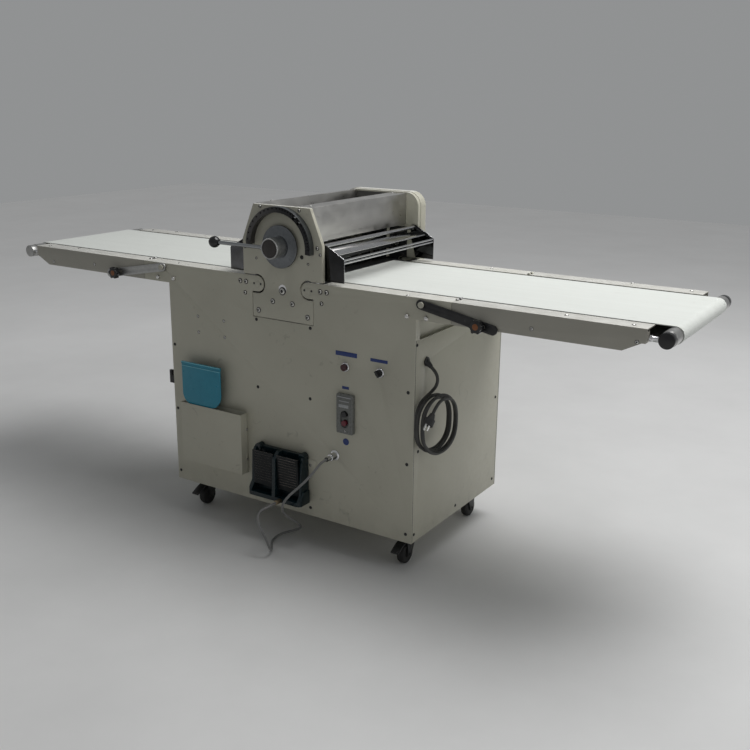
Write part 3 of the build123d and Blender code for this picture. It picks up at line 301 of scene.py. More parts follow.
# Casters: pressed black forks with a ball race, black rubber wheels on a plastic hub.
# Each is bolted under the tray; the front pair has a foot brake pedal over the wheel.
black_steel_and_shade, tree, shader = finish_of("black_steel_and_painted_shade", 0.4, 0.3)
body = blended(tree, shared(tree, mottle, Scale=30.0), (0.011, 0.011, 0.012), (0.034, 0.034, 0.035))
body = blended(tree, shared(tree, scuffs, Scale=60.0, Amount=0.8), body, (0.25, 0.24, 0.23))
fill(shader.inputs["Base Color"], body)


def sheath(name, roughness, colour, pale, scale, grain, strength):
    """Rubber or soft plastic with clouds of a scale and a fine grain."""
    made, tree, shader = finish_of(name, roughness)
    fill(shader.inputs["Base Color"], blended(tree, shared(tree, mottle, Scale=scale), colour, pale))
    embossed(tree, shader, shared(tree, mottle, Scale=grain), 0.0003, strength)
    return made


tread = sheath("wheel_rubber", 0.7, (0.006, 0.006, 0.006), (0.028, 0.027, 0.026), 45.0, 900.0, 0.3)


def turned(bm, profile, centre, axis, steps=48):
    """A turned shape: the profile is (distance along the axis, radius), spun right round."""
    axis = Vector(axis).normalized()
    side = axis.orthogonal().normalized()
    centre = Vector(centre)
    verts = [bm.verts.new(centre + axis * a + side * r) for a, r in profile]
    edges = [bm.edges.new(pair) for pair in zip(verts, verts[1:])]
    if profile[0][1] > 0:
        edges.append(bm.edges.new((verts[-1], verts[0])))
    bmesh.ops.spin(bm, geom=verts + edges, cent=centre, axis=axis, dvec=(0, 0, 0),
                   angle=2 * math.pi, steps=steps, use_merge=True)
    bmesh.ops.remove_doubles(bm, verts=bm.verts, dist=1e-7)
    bmesh.ops.recalc_face_normals(bm, faces=bm.faces)
    return bm


wheel_r = 0.0325
half_wheel = [(-0.0156, 0.0045), (-0.0156, 0.012), (-0.0128, 0.0122), (-0.0112, 0.0135), (-0.0112, 0.0225),
              (-0.0125, 0.0235), (-0.0125, 0.0275), (-0.0105, 0.0308), (-0.0065, wheel_r)]
wheel_profile = half_wheel + [(-a, r) for a, r in reversed(half_wheel)]
for side, sx in (("left", -1), ("right", 1)):
    for end, sy in (("front", -1), ("rear", 1)):
        name = f"{side}_{end}"
        piece(eased(copied(f"{name}_fork"), 0.0008), f"{name}_caster_fork", black_steel_and_shade, f"{name}_fork",
              [f"{name}_fork"])
        wheel = turned(bmesh.new(), wheel_profile, (sx * 0.415, mid + sy * 0.215, wheel_r), (1, 0, 0), 56)
        piece(wheel, f"{name}_caster_wheel", tread, f"{name}_wheel", [f"{name}_wheel"])
    piece(eased(copied(f"{side}_brake_pedal"), 0.001), f"{side}_brake", black_steel_and_shade, f"{side}_brake_pedal",
          [f"{side}_brake_pedal"])


# Front and rear panels: one folded steel plate each with the two wings and their top flanges.
# They are screwed to the posts and hold the bearings of the conveyor drive rolls in round lugs.
front_plate = eased(copied("front_panel", lambda a, b: b.x - a.x > 0.5), 0.0012)
piece(front_plate, "front_panel_sheet", ivory, "cabinet", ["front_panel"])
piece(eased(copied("rear_panel"), 0.0012), "rear_panel_sheet", ivory, "cabinet", ["rear_panel"])


# Side panels: plain enamelled sheets between the panels, with a plate hook at the front edge of the left one.
# Each is held by small pan-head screws near its edges; thin black strips down the corners of the cabinet are painted
# shade of the gaps between the sheets, and a thin baffle closes the cabinet above each, under the wings.
def block(bm, size, centre):
    """A plain box."""
    got = bmesh.ops.create_cube(bm, size=1.0)
    bmesh.ops.scale(bm, vec=size, verts=got["verts"])
    bmesh.ops.translate(bm, vec=centre, verts=got["verts"])


sides = eased(copied("side_panels", lambda a, b: b.z - a.z > 0.3), 0.0008)
piece(sides, "side_sheets", ivory, "cabinet", ["side_panels"])
baffles = bmesh.new()
for x in (-0.466, 0.466):
    block(baffles, (0.0015, 0.556, 0.115), (x, mid, 0.7575))
piece(eased(baffles, 0.0004, 1), "side_baffles", ivory, "cabinet")
hook = bmesh.new()
hook_low = 0.457
for x0, x1, top in ((-0.5020, -0.4905, 0.503), (-0.4910, -0.4795, 0.485)):
    block(hook, (x1 - x0, 0.009, top - hook_low), ((x0 + x1) / 2, front + 0.0065, (top + hook_low) / 2))
piece(eased(hook, 0.0008), "side_hook", black_steel_and_shade, "cabinet")
# black strips in the corners: painted shade of the gaps between the sheets
corner_shade_strips = bmesh.new()
low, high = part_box("side_panels")
for x in (-high[0], high[0]):
    for y in (low[1], high[1]):
        block(corner_shade_strips, (0.0006, 0.0022, high[2] - low[2]), (x * 0.9995, y, (low[2] + high[2]) / 2))
piece(corner_shade_strips, "corner_shadow_gaps", black_steel_and_shade, "cabinet")


# Head plates: two thick plates that carry the rolls, tied by two round bars under the rolls.
# They are enamelled with the cabinet and bolted to the head beams; between the guards their inner faces are painted
# black as painted shade of the roll space.
def looks_inward(face):
    return abs(face.normal.y) > 0.9 and face.normal.y * (face.calc_center_median().y - mid) < 0


shade_half, shade_top = 0.112, 0.985
plates = eased(copied("head_plates", lambda a, b: b.y - a.y < 0.2), 0.0015)
for at, way in (((shade_half, 0, 0), (1, 0, 0)), ((-shade_half, 0, 0), (1, 0, 0)), ((0, 0, shade_top), (0, 0, 1))):
    inside = [f for f in plates.faces if looks_inward(f)]
    rims = {e for f in inside for e in f.edges} | {v for f in inside for v in f.verts}
    bmesh.ops.bisect_plane(plates, geom=list(rims) + inside, dist=1e-6, plane_co=at, plane_no=way)
# inner faces between the guards turn black: painted shade of the dark roll space
for face in plates.faces:
    at = face.calc_center_median()
    if looks_inward(face) and abs(at.x) < shade_half and at.z < shade_top:
        face.material_index = 1
piece(plates, "head_side_plates", ivory, "cabinet", ["head_plates"], [black_steel_and_shade])


def drawn_out(bm, corners, low, high):
    """A flat outline of (x, z) corners drawn out along the machine's depth from low to high."""
    flat = bm.faces.new([bm.verts.new((x, low, z)) for x, z in corners])
    grown = bmesh.ops.extrude_face_region(bm, geom=[flat])
    moved = [v for v in grown["geom"] if isinstance(v, bmesh.types.BMVert)]
    bmesh.ops.translate(bm, vec=(0, high - low, 0), verts=moved)
    bmesh.ops.recalc_face_normals(bm, faces=bm.faces)


# the rear plate keeps its full height up to round shoulders, close to the drive cover's outline
shoulders = bmesh.new()
outline = [(0.104, 1.005), (0.104, 0.9885), (0.155, 0.9885)]
start = shoulders.verts.new((0.155, 0, 1.054))
bmesh.ops.spin(shoulders, geom=[start], cent=(0.107, 0, 1.054), axis=(0, 1, 0), dvec=(0, 0, 0), angle=-math.pi / 2,
               steps=14)
outline += [(v.co.x, v.co.z) for v in shoulders.verts]
shoulders.clear()
drawn_out(shoulders, outline + [(-x, z) for x, z in reversed(outline)], mid + 0.2727, mid + 0.2890)
piece(eased(shoulders, 0.0006), "rear_plate_shoulders", ivory, "cabinet")


def bare_steel(name, colour, dark, low, high, stretch):
    """Machined or rolled steel with lines along its working direction."""
    made, tree, shader = finish_of(name, 0.3, 1.0)
    lines = shared(tree, strokes, Stretch=stretch)
    fill(shader.inputs["Base Color"], blended(tree, lines, colour, dark))
    fill(shader.inputs["Roughness"], ranged(tree, lines, low, high))
    embossed(tree, shader, lines, 0.0002, 0.06)
    return made


turned_steel = bare_steel("turned_steel", (0.62, 0.61, 0.60), (0.42, 0.42, 0.41), 0.22, 0.42, (60, 900, 60))
bars = copied("head_plates", lambda a, b: b.y - a.y > 0.2)
piece(bars, "head_tie_bars", turned_steel, "cabinet")


# Rolls: ground and chromed steel rolls on journals; the drive wheels sit on their rear ends.
# The upper one hangs in sliding blocks that the spiral cams move up and down; a grey gear motor drives both.
chromed = bare_steel("chromed_roll", (0.78, 0.78, 0.79), (0.66, 0.66, 0.67), 0.08, 0.2, (40, 700, 40))
for node in ("lower_roll", "upper_roll"):
    piece(copied(node), f"{node}_turned", chromed, node, [node])
for node in ("jackshaft", "motor_sprocket", "drive_chains", "left_drive_roll", "right_drive_roll"):
    refinish(node, turned_steel)
# the cams, the roll carriage and the transfer plates are black as painted shade of the dark space under the hood
for node in ("gap_cams", "upper_roll_carriage", "transfer_plates"):
    refinish(node, black_steel_and_shade)
refinish("gear_motor", coated("grey_motor_enamel", (0.20, 0.22, 0.23), (0.13, 0.145, 0.155), 0.5))


# Hood: folded stainless sheet between the head plates, open at the top as a flour tray whose ends are darkened as
# painted shade.
# Its finish is dull mill-rolled steel, with stains and wiping marks.
mill_steel, tree, shader = finish_of("mill_stainless", 0.34, 1.0)
body = blended(tree, shared(tree, strokes, Stretch=(18.0, 5.0, 30.0)), (0.64, 0.63, 0.61), (0.44, 0.43, 0.41))
body = blended(tree, shared(tree, scuffs, Scale=14.0, Amount=0.7), body, (0.30, 0.29, 0.27))
fill(shader.inputs["Base Color"], body)
fill(shader.inputs["Roughness"], ranged(tree, shared(tree, mottle, Scale=22.0), 0.26, 0.46))
embossed(tree, shader, shared(tree, strokes, Stretch=(80.0, 1200.0, 80.0)), 0.0002, 0.08)


def sheet_of(bm, edges, wide, thick, outward):
    """A line of edges drawn out to a sheet along the depth; outward says how far a face looks out."""
    drawn = bmesh.ops.extrude_edge_only(bm, edges=edges)
    bmesh.ops.translate(bm, vec=(0, wide, 0), verts=[v for v in drawn["geom"] if isinstance(v, bmesh.types.BMVert)])
    bmesh.ops.recalc_face_normals(bm, faces=bm.faces)
    if sum(outward(f) for f in bm.faces) < 0:
        bmesh.ops.reverse_faces(bm, faces=bm.faces)
    bmesh.ops.solidify(bm, geom=bm.faces, thickness=thick)


sheet = bmesh.new()
line = [(0.107, 0.9935), (0.107, 1.0985), (0.046, 1.0985), (0.046, 1.0425), (-0.097, 1.0425), (-0.097, 1.1005),
        (-0.107, 1.1005), (-0.107, 0.9935)]
fold = [sheet.verts.new((x, mid - 0.273, z)) for x, z in line]
bends = [sheet.edges.new(pair) for pair in zip(fold, fold[1:])]
sheet_of(sheet, bends, 0.5455, 0.0015, lambda f: f.normal.z)
piece(eased(sheet, 0.0005), "hood_sheet", mill_steel, "cabinet", ["hood"])
ends = bmesh.new()
for low, high in ((-0.273, -0.2715), (0.2705, 0.2724)):
    drawn_out(ends, [(-0.0972, 1.042), (0.0462, 1.042), (0.0462, 1.0965), (-0.0972, 1.0965)], mid + low, mid + high)
# the tray's end walls are darkened: painted shade at the tray's ends
tray_end_shade = bare_steel("tray_end_painted_shade", (0.16, 0.158, 0.15), (0.10, 0.10, 0.096), 0.4, 0.6, (30, 30, 200))
piece(eased(ends, 0.0003, 1), "tray_ends", tray_end_shade, "cabinet")


# Rear drive cover: deep-drawn looking box of enamelled sheet over gears and chains.
# It is screwed to the rear head plate and the rear panel.
piece(eased(copied("rear_drive_cover"), 0.0008), "drive_cover_sheet", ivory, "cabinet",
      ["rear_drive_cover"])


# Index plate: a thick cast ring segment on the head plate, its face ground dark and drilled with locking holes.
# Two threaded stop pins sit in the holes and set the thickest and thinnest dough; a collar carries the shaft.
shaft_z = 0.976
satin_steel_and_reflection = bare_steel("satin_flange", (0.20, 0.21, 0.22), (0.12, 0.128, 0.135), 0.26, 0.42, (120, 20, 120))
index_steel, tree, shader = finish_of("index_steel", 0.38, 0.6)
# the face is painted grey at the left and near black at the right: painted reflection of light and dark surroundings
across = added(tree, "SeparateXYZ", Vector=object_place(tree)).outputs["X"]
body = blended(tree, ranged(tree, across, 0.0, 1.0, -0.06, 0.02), (0.085, 0.082, 0.080), (0.020, 0.020, 0.022))
body = blended(tree, shared(tree, scuffs, Scale=90.0, Amount=0.7), body, (0.20, 0.19, 0.18))
fill(shader.inputs["Base Color"], body)
arc = eased(copied("index_plate", lambda a, b: b.x - a.x > 0.2), 0.0003, 1)
for face in arc.faces:
    outward = face.calc_center_median() - Vector((0, mid, shaft_z))
    if abs(face.normal.y) < 0.5 and face.normal.dot(outward) > 0.11:
        face.material_index = 1
piece(arc, "index_ring", index_steel, "cabinet", ["index_plate"], [satin_steel_and_reflection])
collar = eased(copied("index_plate", lambda a, b: 0.07 < b.x - a.x < 0.1), 0.0005)
piece(collar, "shaft_collar", turned_steel, "cabinet")
pins = bmesh.new()
ring_r = 0.117
for turn in (math.radians(52.8), math.radians(42.4)):
    turned(pins, [(0.02, 0.0), (0.02, 0.0026), (0.022, 0.0026), (0.022, 0.0051), (0.0226, 0.0055), (0.0306, 0.0055),
                  (0.032, 0.0042), (0.032, 0.0)],
           (ring_r * math.cos(turn), front, shaft_z + ring_r * math.sin(turn)), (0, -1, 0), 32)
piece(pins, "stop_pins", chromed, "cabinet")


# Gap lever: a dark flanged hub clamped on the cam shaft, with a knurled steel rim and a capped end.
# A bright rod is screwed into the hub and ends in a black plastic ball.
shaft = (0, front, shaft_z)
flange = turned(bmesh.new(), [(0.006, 0.0), (0.006, 0.0648), (0.0068, 0.066), (0.0112, 0.066), (0.012, 0.0652),
                              (0.012, 0.036), (0.013, 0.0345), (0.017, 0.0345), (0.017, 0.0)], shaft, (0, -1, 0), 96)
piece(flange, "lever_flange", satin_steel_and_reflection, "gap_lever", ["gap_lever"])
knurled, tree, shader = finish_of("knurled_steel", 0.3, 1.0)
split = added(tree, "SeparateXYZ", Vector=object_place(tree)).outputs
around = maths(tree, "ARCTAN2", maths(tree, "SUBTRACT", split["Z"], shaft_z), split["X"])
embossed(tree, shader, maths(tree, "SINE", maths(tree, "MULTIPLY", around, 96.0)), 0.0006, 0.6)
patches = shared(tree, mottle, Scale=60.0)
fill(shader.inputs["Base Color"], blended(tree, patches, (0.66, 0.66, 0.65), (0.42, 0.42, 0.41)))
hub = turned(bmesh.new(), [(0.017, 0.0), (0.017, 0.0312), (0.0178, 0.032), (0.0592, 0.032), (0.060, 0.0312),
                           (0.060, 0.0285), (0.058, 0.0278), (0.058, 0.0)], shaft, (0, -1, 0), 96)
piece(hub, "lever_hub", knurled, "gap_lever")


def moulded(name, colour, pale, low, high):
    """Moulded plastic or rubber with a fine grain and a little bloom."""
    made, tree, shader = finish_of(name, low)
    body = blended(tree, ranged(tree, shared(tree, mottle, Scale=40.0), 0.0, 0.6), colour, pale)
    body = blended(tree, shared(tree, scuffs, Scale=70.0, Amount=0.35), body,
                   tuple(min(1.0, 1.6 * c + 0.03) for c in pale))
    fill(shader.inputs["Base Color"], body)
    fill(shader.inputs["Roughness"], ranged(tree, shared(tree, mottle, Scale=90.0), low, high))
    embossed(tree, shader, shared(tree, mottle, Scale=1400.0), 0.0002, 0.15)
    return made


black_gloss = moulded("black_phenolic", (0.007, 0.007, 0.008), (0.018, 0.018, 0.019), 0.06, 0.14)
brown_cap = moulded("brown_cap", (0.022, 0.017, 0.015), (0.05, 0.042, 0.036), 0.3, 0.45)
cap = turned(bmesh.new(), [(0.0581, 0.0), (0.0581, 0.0276), (0.0605, 0.0270), (0.061, 0.025), (0.061, 0.0)], shaft,
             (0, -1, 0), 64)
piece(cap, "lever_hub_cap", brown_cap, "gap_lever")
rod_foot = (0, front - 0.048, shaft_z)
rod = turned(bmesh.new(), [(0.0295, 0.0), (0.0295, 0.0085), (0.0300, 0.0092), (0.0385, 0.0092), (0.0392, 0.0085),
                           (0.0392, 0.0060), (0.2120, 0.0060), (0.2120, 0.0)], rod_foot, (-1, 0, 0), 40)
# the rod's chrome is a darker copy of the rolls' chrome: painted reflection of dark surroundings
rod_chrome = bare_steel("rod_chrome", (0.34, 0.35, 0.36), (0.26, 0.27, 0.28), 0.06, 0.14, (60, 60, 60))
piece(rod, "lever_rod", rod_chrome, "gap_lever")
ball_at, ball_r = 0.228, 0.0185
ball = [(0.2095, 0.0), (0.2095, 0.0092), (0.2103, 0.0098)]
ball += [(ball_at - ball_r * math.cos(math.radians(a)), ball_r * math.sin(math.radians(a))) for a in range(36, 180, 8)]
ball += [(ball_at + ball_r, 0.0)]
piece(turned(bmesh.new(), ball, rod_foot, (-1, 0, 0), 56), "lever_ball", black_gloss, "gap_lever")


# Conveyor belts: endless white woven belts over a driven roll at the head and an idle roller at the end.
# Each crosses the fold of its table, so it bends there; slight lanes of wear run along it.
white_belt, tree, shader = finish_of("white_belt", 0.7)
shader.inputs["Sheen Weight"].default_value = 0.15
lanes = shared(tree, strokes, Stretch=(1.2, 60.0, 1.0))
body = blended(tree, lanes, (0.84, 0.865, 0.825), (0.75, 0.775, 0.73))
body = blended(tree, shared(tree, scuffs, Scale=16.0, Amount=0.3), body, (0.60, 0.585, 0.54))
fill(shader.inputs["Base Color"], body)
threads = []
for way in ("X", "Y"):
    wave = added(tree, "TexWave", Vector=object_place(tree), Scale=220.0)
    wave.wave_type = "BANDS"
    wave.bands_direction = way
    threads.append(wave.outputs["Fac"])
embossed(tree, shader, maths(tree, "MULTIPLY", *threads), 0.0004, 0.25)
fill(shader.inputs["Roughness"], ranged(tree, shared(tree, mottle, Scale=12.0), 0.6, 0.8))
roller_z = 0.850
drive_x, idle_x = 0.0985, 1.191
belt_out = Vector((0, 0, 0.0243))
for side, sx in (("left", -1), ("right", 1)):
    bm = bmesh.new()
    tops, bottoms = [], []
    for x, turn in ((drive_x, -sx * math.pi), (idle_x, sx * math.pi)):
        centre = Vector((sx * x, mid - 0.212, roller_z))
        tops.append(bm.verts.new(centre + belt_out))
        nose = bmesh.ops.spin(bm, geom=tops[-1:], cent=centre, axis=(0, 1, 0), dvec=(0, 0, 0), angle=turn, steps=20)
        bottoms.append(nose["geom_last"][0])
    runs = [bm.edges.new(tops), bm.edges.new(bottoms)]
    bmesh.ops.subdivide_edges(bm, edges=runs, cuts=180)
    middle = Vector((sx * 0.645, mid, roller_z))
    sheet_of(bm, bm.edges, 0.4265, 0.002, lambda f: f.normal.dot(f.calc_center_median() - middle))
    belt = as_object(bm, f"{side}_conveyor_belt", 40, white_belt)
    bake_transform(belt, "cabinet", f"{side}_table", start=(sx * 0.573, mid, roller_z), end=(sx * 0.613, mid, roller_z))
    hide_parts(f"{side}_belt_outer", "inner_belts")


# Folding tables: folded rails welded to cross ties, a slider bed under the belt made black as painted shade in the gap
# beside the belt, and an idle roller.
# The roller's bearing caps are pushed outwards by long bright studs to stretch the belt.
rail_enamel = coated("rail_enamel", (0.43, 0.415, 0.36), (0.37, 0.355, 0.305), 0.4)
cast_grey = bare_steel("cast_grey", (0.50, 0.50, 0.49), (0.32, 0.32, 0.31), 0.35, 0.55, (90, 90, 90))
# the slider beds are black: painted shade in the gap between belt and rails
piece(eased(copied("inner_beds"), 0.0004, 1), "inner_slider_beds", black_steel_and_shade, "cabinet",
      ["inner_beds"])
roller_end = [(0.0, 0.0), (0.0, 0.0055), (0.0005, 0.006), (0.016, 0.006), (0.016, 0.0205), (0.0175, 0.022)]
roller_profile = roller_end + [(0.551 - a, r) for a, r in reversed(roller_end)]
for side, sx, cap_finish in (("left", -1, cast_grey), ("right", 1, black_gloss)):
    node = f"{side}_table_frame"
    table = f"{side}_table"
    rails = eased(copied(node, lambda a, b: b.z - a.z > 0.055), 0.0009)
    piece(rails, f"{table}_rails", rail_enamel, table, [node])
    bed = eased(copied(node, lambda a, b: b.z - a.z < 0.006), 0.0004, 1)
    piece(bed, f"{side}_slider_bed", black_steel_and_shade, table)
    hinge = copied(node, lambda a, b: 0.004 < b.x - a.x < 0.007 and b.z - a.z < 0.007)
    piece(hinge, f"{side}_hinge_pins", turned_steel, table)
    caps = eased(copied(node, lambda a, b: b.y - a.y < 0.03 and b.x - a.x > 0.05), 0.001)
    for face in caps.faces:
        at = face.calc_center_median()
        if math.hypot(at.x - sx * idle_x, at.z - roller_z) < 0.0215:
            face.material_index = 1
    piece(caps, f"{side}_roller_caps", chromed, table, others=[cap_finish])
    roller = turned(bmesh.new(), roller_profile, (sx * idle_x, mid - 0.2755, roller_z), (0, 1, 0), 64)
    piece(roller, f"{side}_idle_roller", turned_steel, f"{side}_end_roller", [f"{side}_end_roller"])


# Stays: flat steel bars with a slot, pivoted on a shoulder bolt and clamped by a lobed knob.
# They hold the tables level or raised; the knobs are black plastic with a small amber cap.
amber = moulded("amber_cap", (0.26, 0.085, 0.02), (0.20, 0.065, 0.018), 0.3, 0.45)
for side, knob_x, bar_finish in (("left", -0.719, cast_grey), ("right", 0.682, black_steel_and_shade)):
    stay = f"{side}_stay"
    knob = f"{side}_stay_knob"
    piece(eased(copied(stay), 0.0006), f"{stay}_bar", bar_finish, stay, [stay])
    piece(eased(copied(knob), 0.0018, 3), f"{side}_lobed_knob", black_gloss, knob, [knob])
    centre = turned(bmesh.new(), [(0.0285, 0.0), (0.0285, 0.009), (0.0294, 0.0088), (0.0298, 0.0075), (0.0299, 0.0)],
                    (knob_x, front, 0.822), (0, -1, 0), 40)
    piece(centre, f"{side}_knob_cap", amber, knob)
bolts = copied("front_panel", lambda a, b: b.x - a.x < 0.1)
piece(eased(bolts, 0.0008), "stay_shoulder_bolts", turned_steel, "cabinet")


# Finger guards: polished stainless cheeks with a cover strip and round bars, pivoted on the head plates.
# They are bent and welded, then mirror polished.
def mirror_finish(name, colour, dark):
    made, tree, shader = finish_of(name, 0.08, 1.0)
    smear = shared(tree, mottle, Scale=26.0)
    fill(shader.inputs["Base Color"], blended(tree, smear, colour, dark))
    fill(shader.inputs["Roughness"], ranged(tree, smear, 0.05, 0.16))
    return made


mirror_steel = mirror_finish("mirror_stainless", (0.66, 0.66, 0.67), (0.52, 0.52, 0.53))
cheek = [(0.130, 0.990), (0.136, 0.995), (0.149, 0.994), (0.2175, 0.956), (0.2205, 0.951), (0.2205, 0.882),
         (0.150, 0.882), (0.128, 0.960)]
strip = [(0.1585, 0.9767), (0.1890, 0.9647), (0.1883, 0.9628), (0.1578, 0.9748)]
pivot_x, pivot_z = 0.135, 0.982
bar_long = 0.5362
for side, sx, reflected_tone in (("left", -1, 0.15), ("right", 1, 0.05)):
    # the cheeks take a dark copy of the polished steel, darker on the right guard: painted reflection of dark
    # surroundings
    cheek_reflection_steel = mirror_finish(f"{side}_cheek_painted_reflection", (reflected_tone, reflected_tone, 1.04 * reflected_tone), (0.7 * reflected_tone,) * 3)
    guard = bmesh.new()
    for low, high in ((-0.270, -0.268), (0.268, 0.270)):
        drawn_out(guard, [(sx * x, z) for x, z in cheek], mid + low, mid + high)
    drawn_out(guard, [(sx * x, z) for x, z in strip], mid - 0.2682, mid + 0.2682)
    eased(guard, 0.0004)
    for x, z, thick in ((0.1435, 0.9870, 0.006), (0.1887, 0.9637, 0.0024), (0.2165, 0.9505, 0.003),
                        (0.2165, 0.9415, 0.003)):
        turned(guard, [(0.0, 0.0), (0.0, thick), (bar_long, thick), (bar_long, 0.0)], (sx * x, mid - 0.2681, z),
               (0, 1, 0), 32)
    pivots = bmesh.new()
    for sy in (-1, 1):
        turned(guard, [(0.0, 0.0), (0.0, 0.004), (0.0100, 0.004), (0.0100, 0.0)],
               (sx * pivot_x, mid + sy * 0.2695, pivot_z), (0, sy, 0), 24)
        turned(pivots, [(0.0, 0.0), (0.0, 0.0058), (0.0012, 0.0058), (0.0026, 0.0044), (0.003, 0.0)],
               (sx * pivot_x, mid + sy * 0.268, pivot_z), (0, -sy, 0), 32)
    for face in guard.faces:
        if abs(face.normal.y) > 0.9:
            face.material_index = 1
    body = f"{side}_guard"
    piece(guard, f"{side}_finger_guard", mirror_steel, body, [body], [cheek_reflection_steel])
    piece(pivots, f"{side}_guard_pivots", mirror_steel, body)


# Controls: a grey enamelled push-button station, two chromed bezels with a red button and a selector.
# The cables run behind the panel into the control box.
station_enamel = moulded("station_enamel", (0.15, 0.155, 0.145), (0.20, 0.205, 0.195), 0.22, 0.36)
station = eased(copied("switch_housings", lambda a, b: b.z - a.z > 0.06), 0.0006)
piece(station, "button_station", station_enamel, "cabinet", ["switch_housings"])
bezels = bmesh.new()
for x, z in ((0.237, 0.6315), (0.361, 0.633)):
    turned(bezels, [(0.0, 0.0115), (0.0, 0.0155), (0.002, 0.0155), (0.0042, 0.0146), (0.006, 0.0128), (0.006, 0.0115)],
           (x, front, z), (0, -1, 0), 56)
piece(bezels, "switch_bezels", chromed, "cabinet")
red = moulded("red_cap", (0.17, 0.016, 0.030), (0.13, 0.014, 0.024), 0.22, 0.35)
maroon = moulded("maroon_cap", (0.050, 0.007, 0.010), (0.036, 0.006, 0.008), 0.18, 0.3)
black_satin = moulded("black_satin", (0.016, 0.016, 0.017), (0.035, 0.035, 0.036), 0.35, 0.5)
for node, finish, slot in (("start_button", black_satin, "black_plastic"), ("stop_button", red, "red_plastic"),
                           ("red_button", maroon, "red_plastic"), ("selector_knob", black_satin, "black_plastic")):
    piece(eased(copied(node), 0.0007, 3), f"{node}_cap", finish, node, [node])
refinish("control_box", black_satin)


# Scraper pocket: a folded enamelled sheet box on the front panel with a ledge inside.
# A moulded teal bowl scraper with a thick top rim stands in it; pale lines on its rim and ridge are painted highlights,
# partly rubbed wear.
piece(eased(copied("scraper_pocket"), 0.0005), "pocket_sheet", ivory, "cabinet", ["scraper_pocket"])
teal = moulded("teal_plastic", (0.008, 0.225, 0.335), (0.018, 0.275, 0.39), 0.26, 0.4)
piece(eased(copied("bowl_scraper"), 0.0011, 3), "bowl_scraper_blade", teal, "bowl_scraper",
      ["bowl_scraper"])
ridge = bmesh.new()
low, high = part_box("bowl_scraper")
for y, z in ((front - 0.0306, 0.5415), (low[1] + 0.0004, high[2] - 0.0014)):
    block(ridge, (0.1706, 0.0014, 0.0026), (-0.327, y, z))
# the pale rim and ridge lines are painted highlights, partly rubbed wear
rim_highlight_teal = moulded("rubbed_and_highlit_teal", (0.17, 0.52, 0.62), (0.24, 0.60, 0.69), 0.25, 0.4)
piece(eased(ridge, 0.0005), "scraper_ridge", rim_highlight_teal, "bowl_scraper")


# Foot switch: a cast housing in dark enamel on a sheet bracket, with two ribbed pedals on one pin line.
# It hangs low on the front panel and its grey cable plugs into the panel socket.
def edge_wear_and_highlight_finish(name, roughness, specular, colour, pale, bare):
    """A dark finish paler on its edges: wear on the pedals' crests, painted highlight on the housing's edges."""
    made, tree, shader = finish_of(name, roughness)
    shader.inputs["Specular IOR Level"].default_value = specular
    body = blended(tree, shared(tree, mottle, Scale=40.0), colour, pale)
    fill(shader.inputs["Base Color"], blended(tree, painted_on(tree, "edge", 0.4, 1.0, 30.0), body, bare))
    return made


# the housing's paler edges are painted highlights
enamel = edge_wear_and_highlight_finish("foot_enamel", 0.26, 0.4, (0.003, 0.012, 0.015), (0.007, 0.020, 0.025), (0.030, 0.062, 0.075))
ribbed = edge_wear_and_highlight_finish("ribbed_rubber", 0.42, 0.25, (0.006, 0.008, 0.009), (0.016, 0.018, 0.019), (0.40, 0.35, 0.30))
bracket = eased(copied("foot_switch_body", lambda a, b: b.y - a.y < 0.01), 0.0006)
piece(bracket, "foot_bracket", ivory, "cabinet", ["foot_switch_body"])
shell = eased(copied("foot_switch_body", lambda a, b: b.y - a.y > 0.01), 0.0025, 3)
piece(shell, "foot_housing", enamel, "cabinet")
for side in ("left", "right"):
    pedal = f"{side}_foot_pedal"
    treadle = eased(copied(pedal), 0.0008)
    rubbed = treadle.faces.layers.float["edge"]
    for face in treadle.faces:
        tall = max(v.co.z for v in face.verts) - min(v.co.z for v in face.verts)
        if face[rubbed] and face.normal.z < 0.3 or tall > 0.02:
            face[rubbed] = 0.0
    piece(treadle, f"{side}_ribbed_pedal", ribbed, pedal, [pedal])
# the socket ring's side faces take darker satin steel: painted reflection that gives the bright ring a dark outline
socket = eased(copied("cable_fittings", lambda a, b: 0.3 < a.z and b.z < 0.4), 0.0008)
for face in socket.faces:
    if face.calc_center_median().y < front - 0.0385:
        face.material_index = 1
    elif abs(face.normal.y) < 0.5 and face.normal.z < 0.2:
        face.material_index = 2
turned(socket, [(0.0, 0.0), (0.0, 0.0165), (0.0022, 0.0165), (0.0030, 0.0155), (0.0030, 0.0)], (0.198, front, 0.338),
       (0, -1, 0), 36)
piece(socket, "panel_socket", chromed, "cabinet", ["cable_fittings"], [black_satin, satin_steel_and_reflection])
bronze = bare_steel("bronze_gland", (0.30, 0.24, 0.16), (0.20, 0.16, 0.10), 0.35, 0.5, (200, 200, 200))
gland = eased(copied("cable_fittings", lambda a, b: b.z < 0.3), 0.0008)
piece(gland, "foot_gland", bronze, "cabinet")
grommet = eased(copied("cable_fittings", lambda a, b: a.z > 0.4), 0.0008)
piece(grommet, "lead_grommet", black_satin, "cabinet")


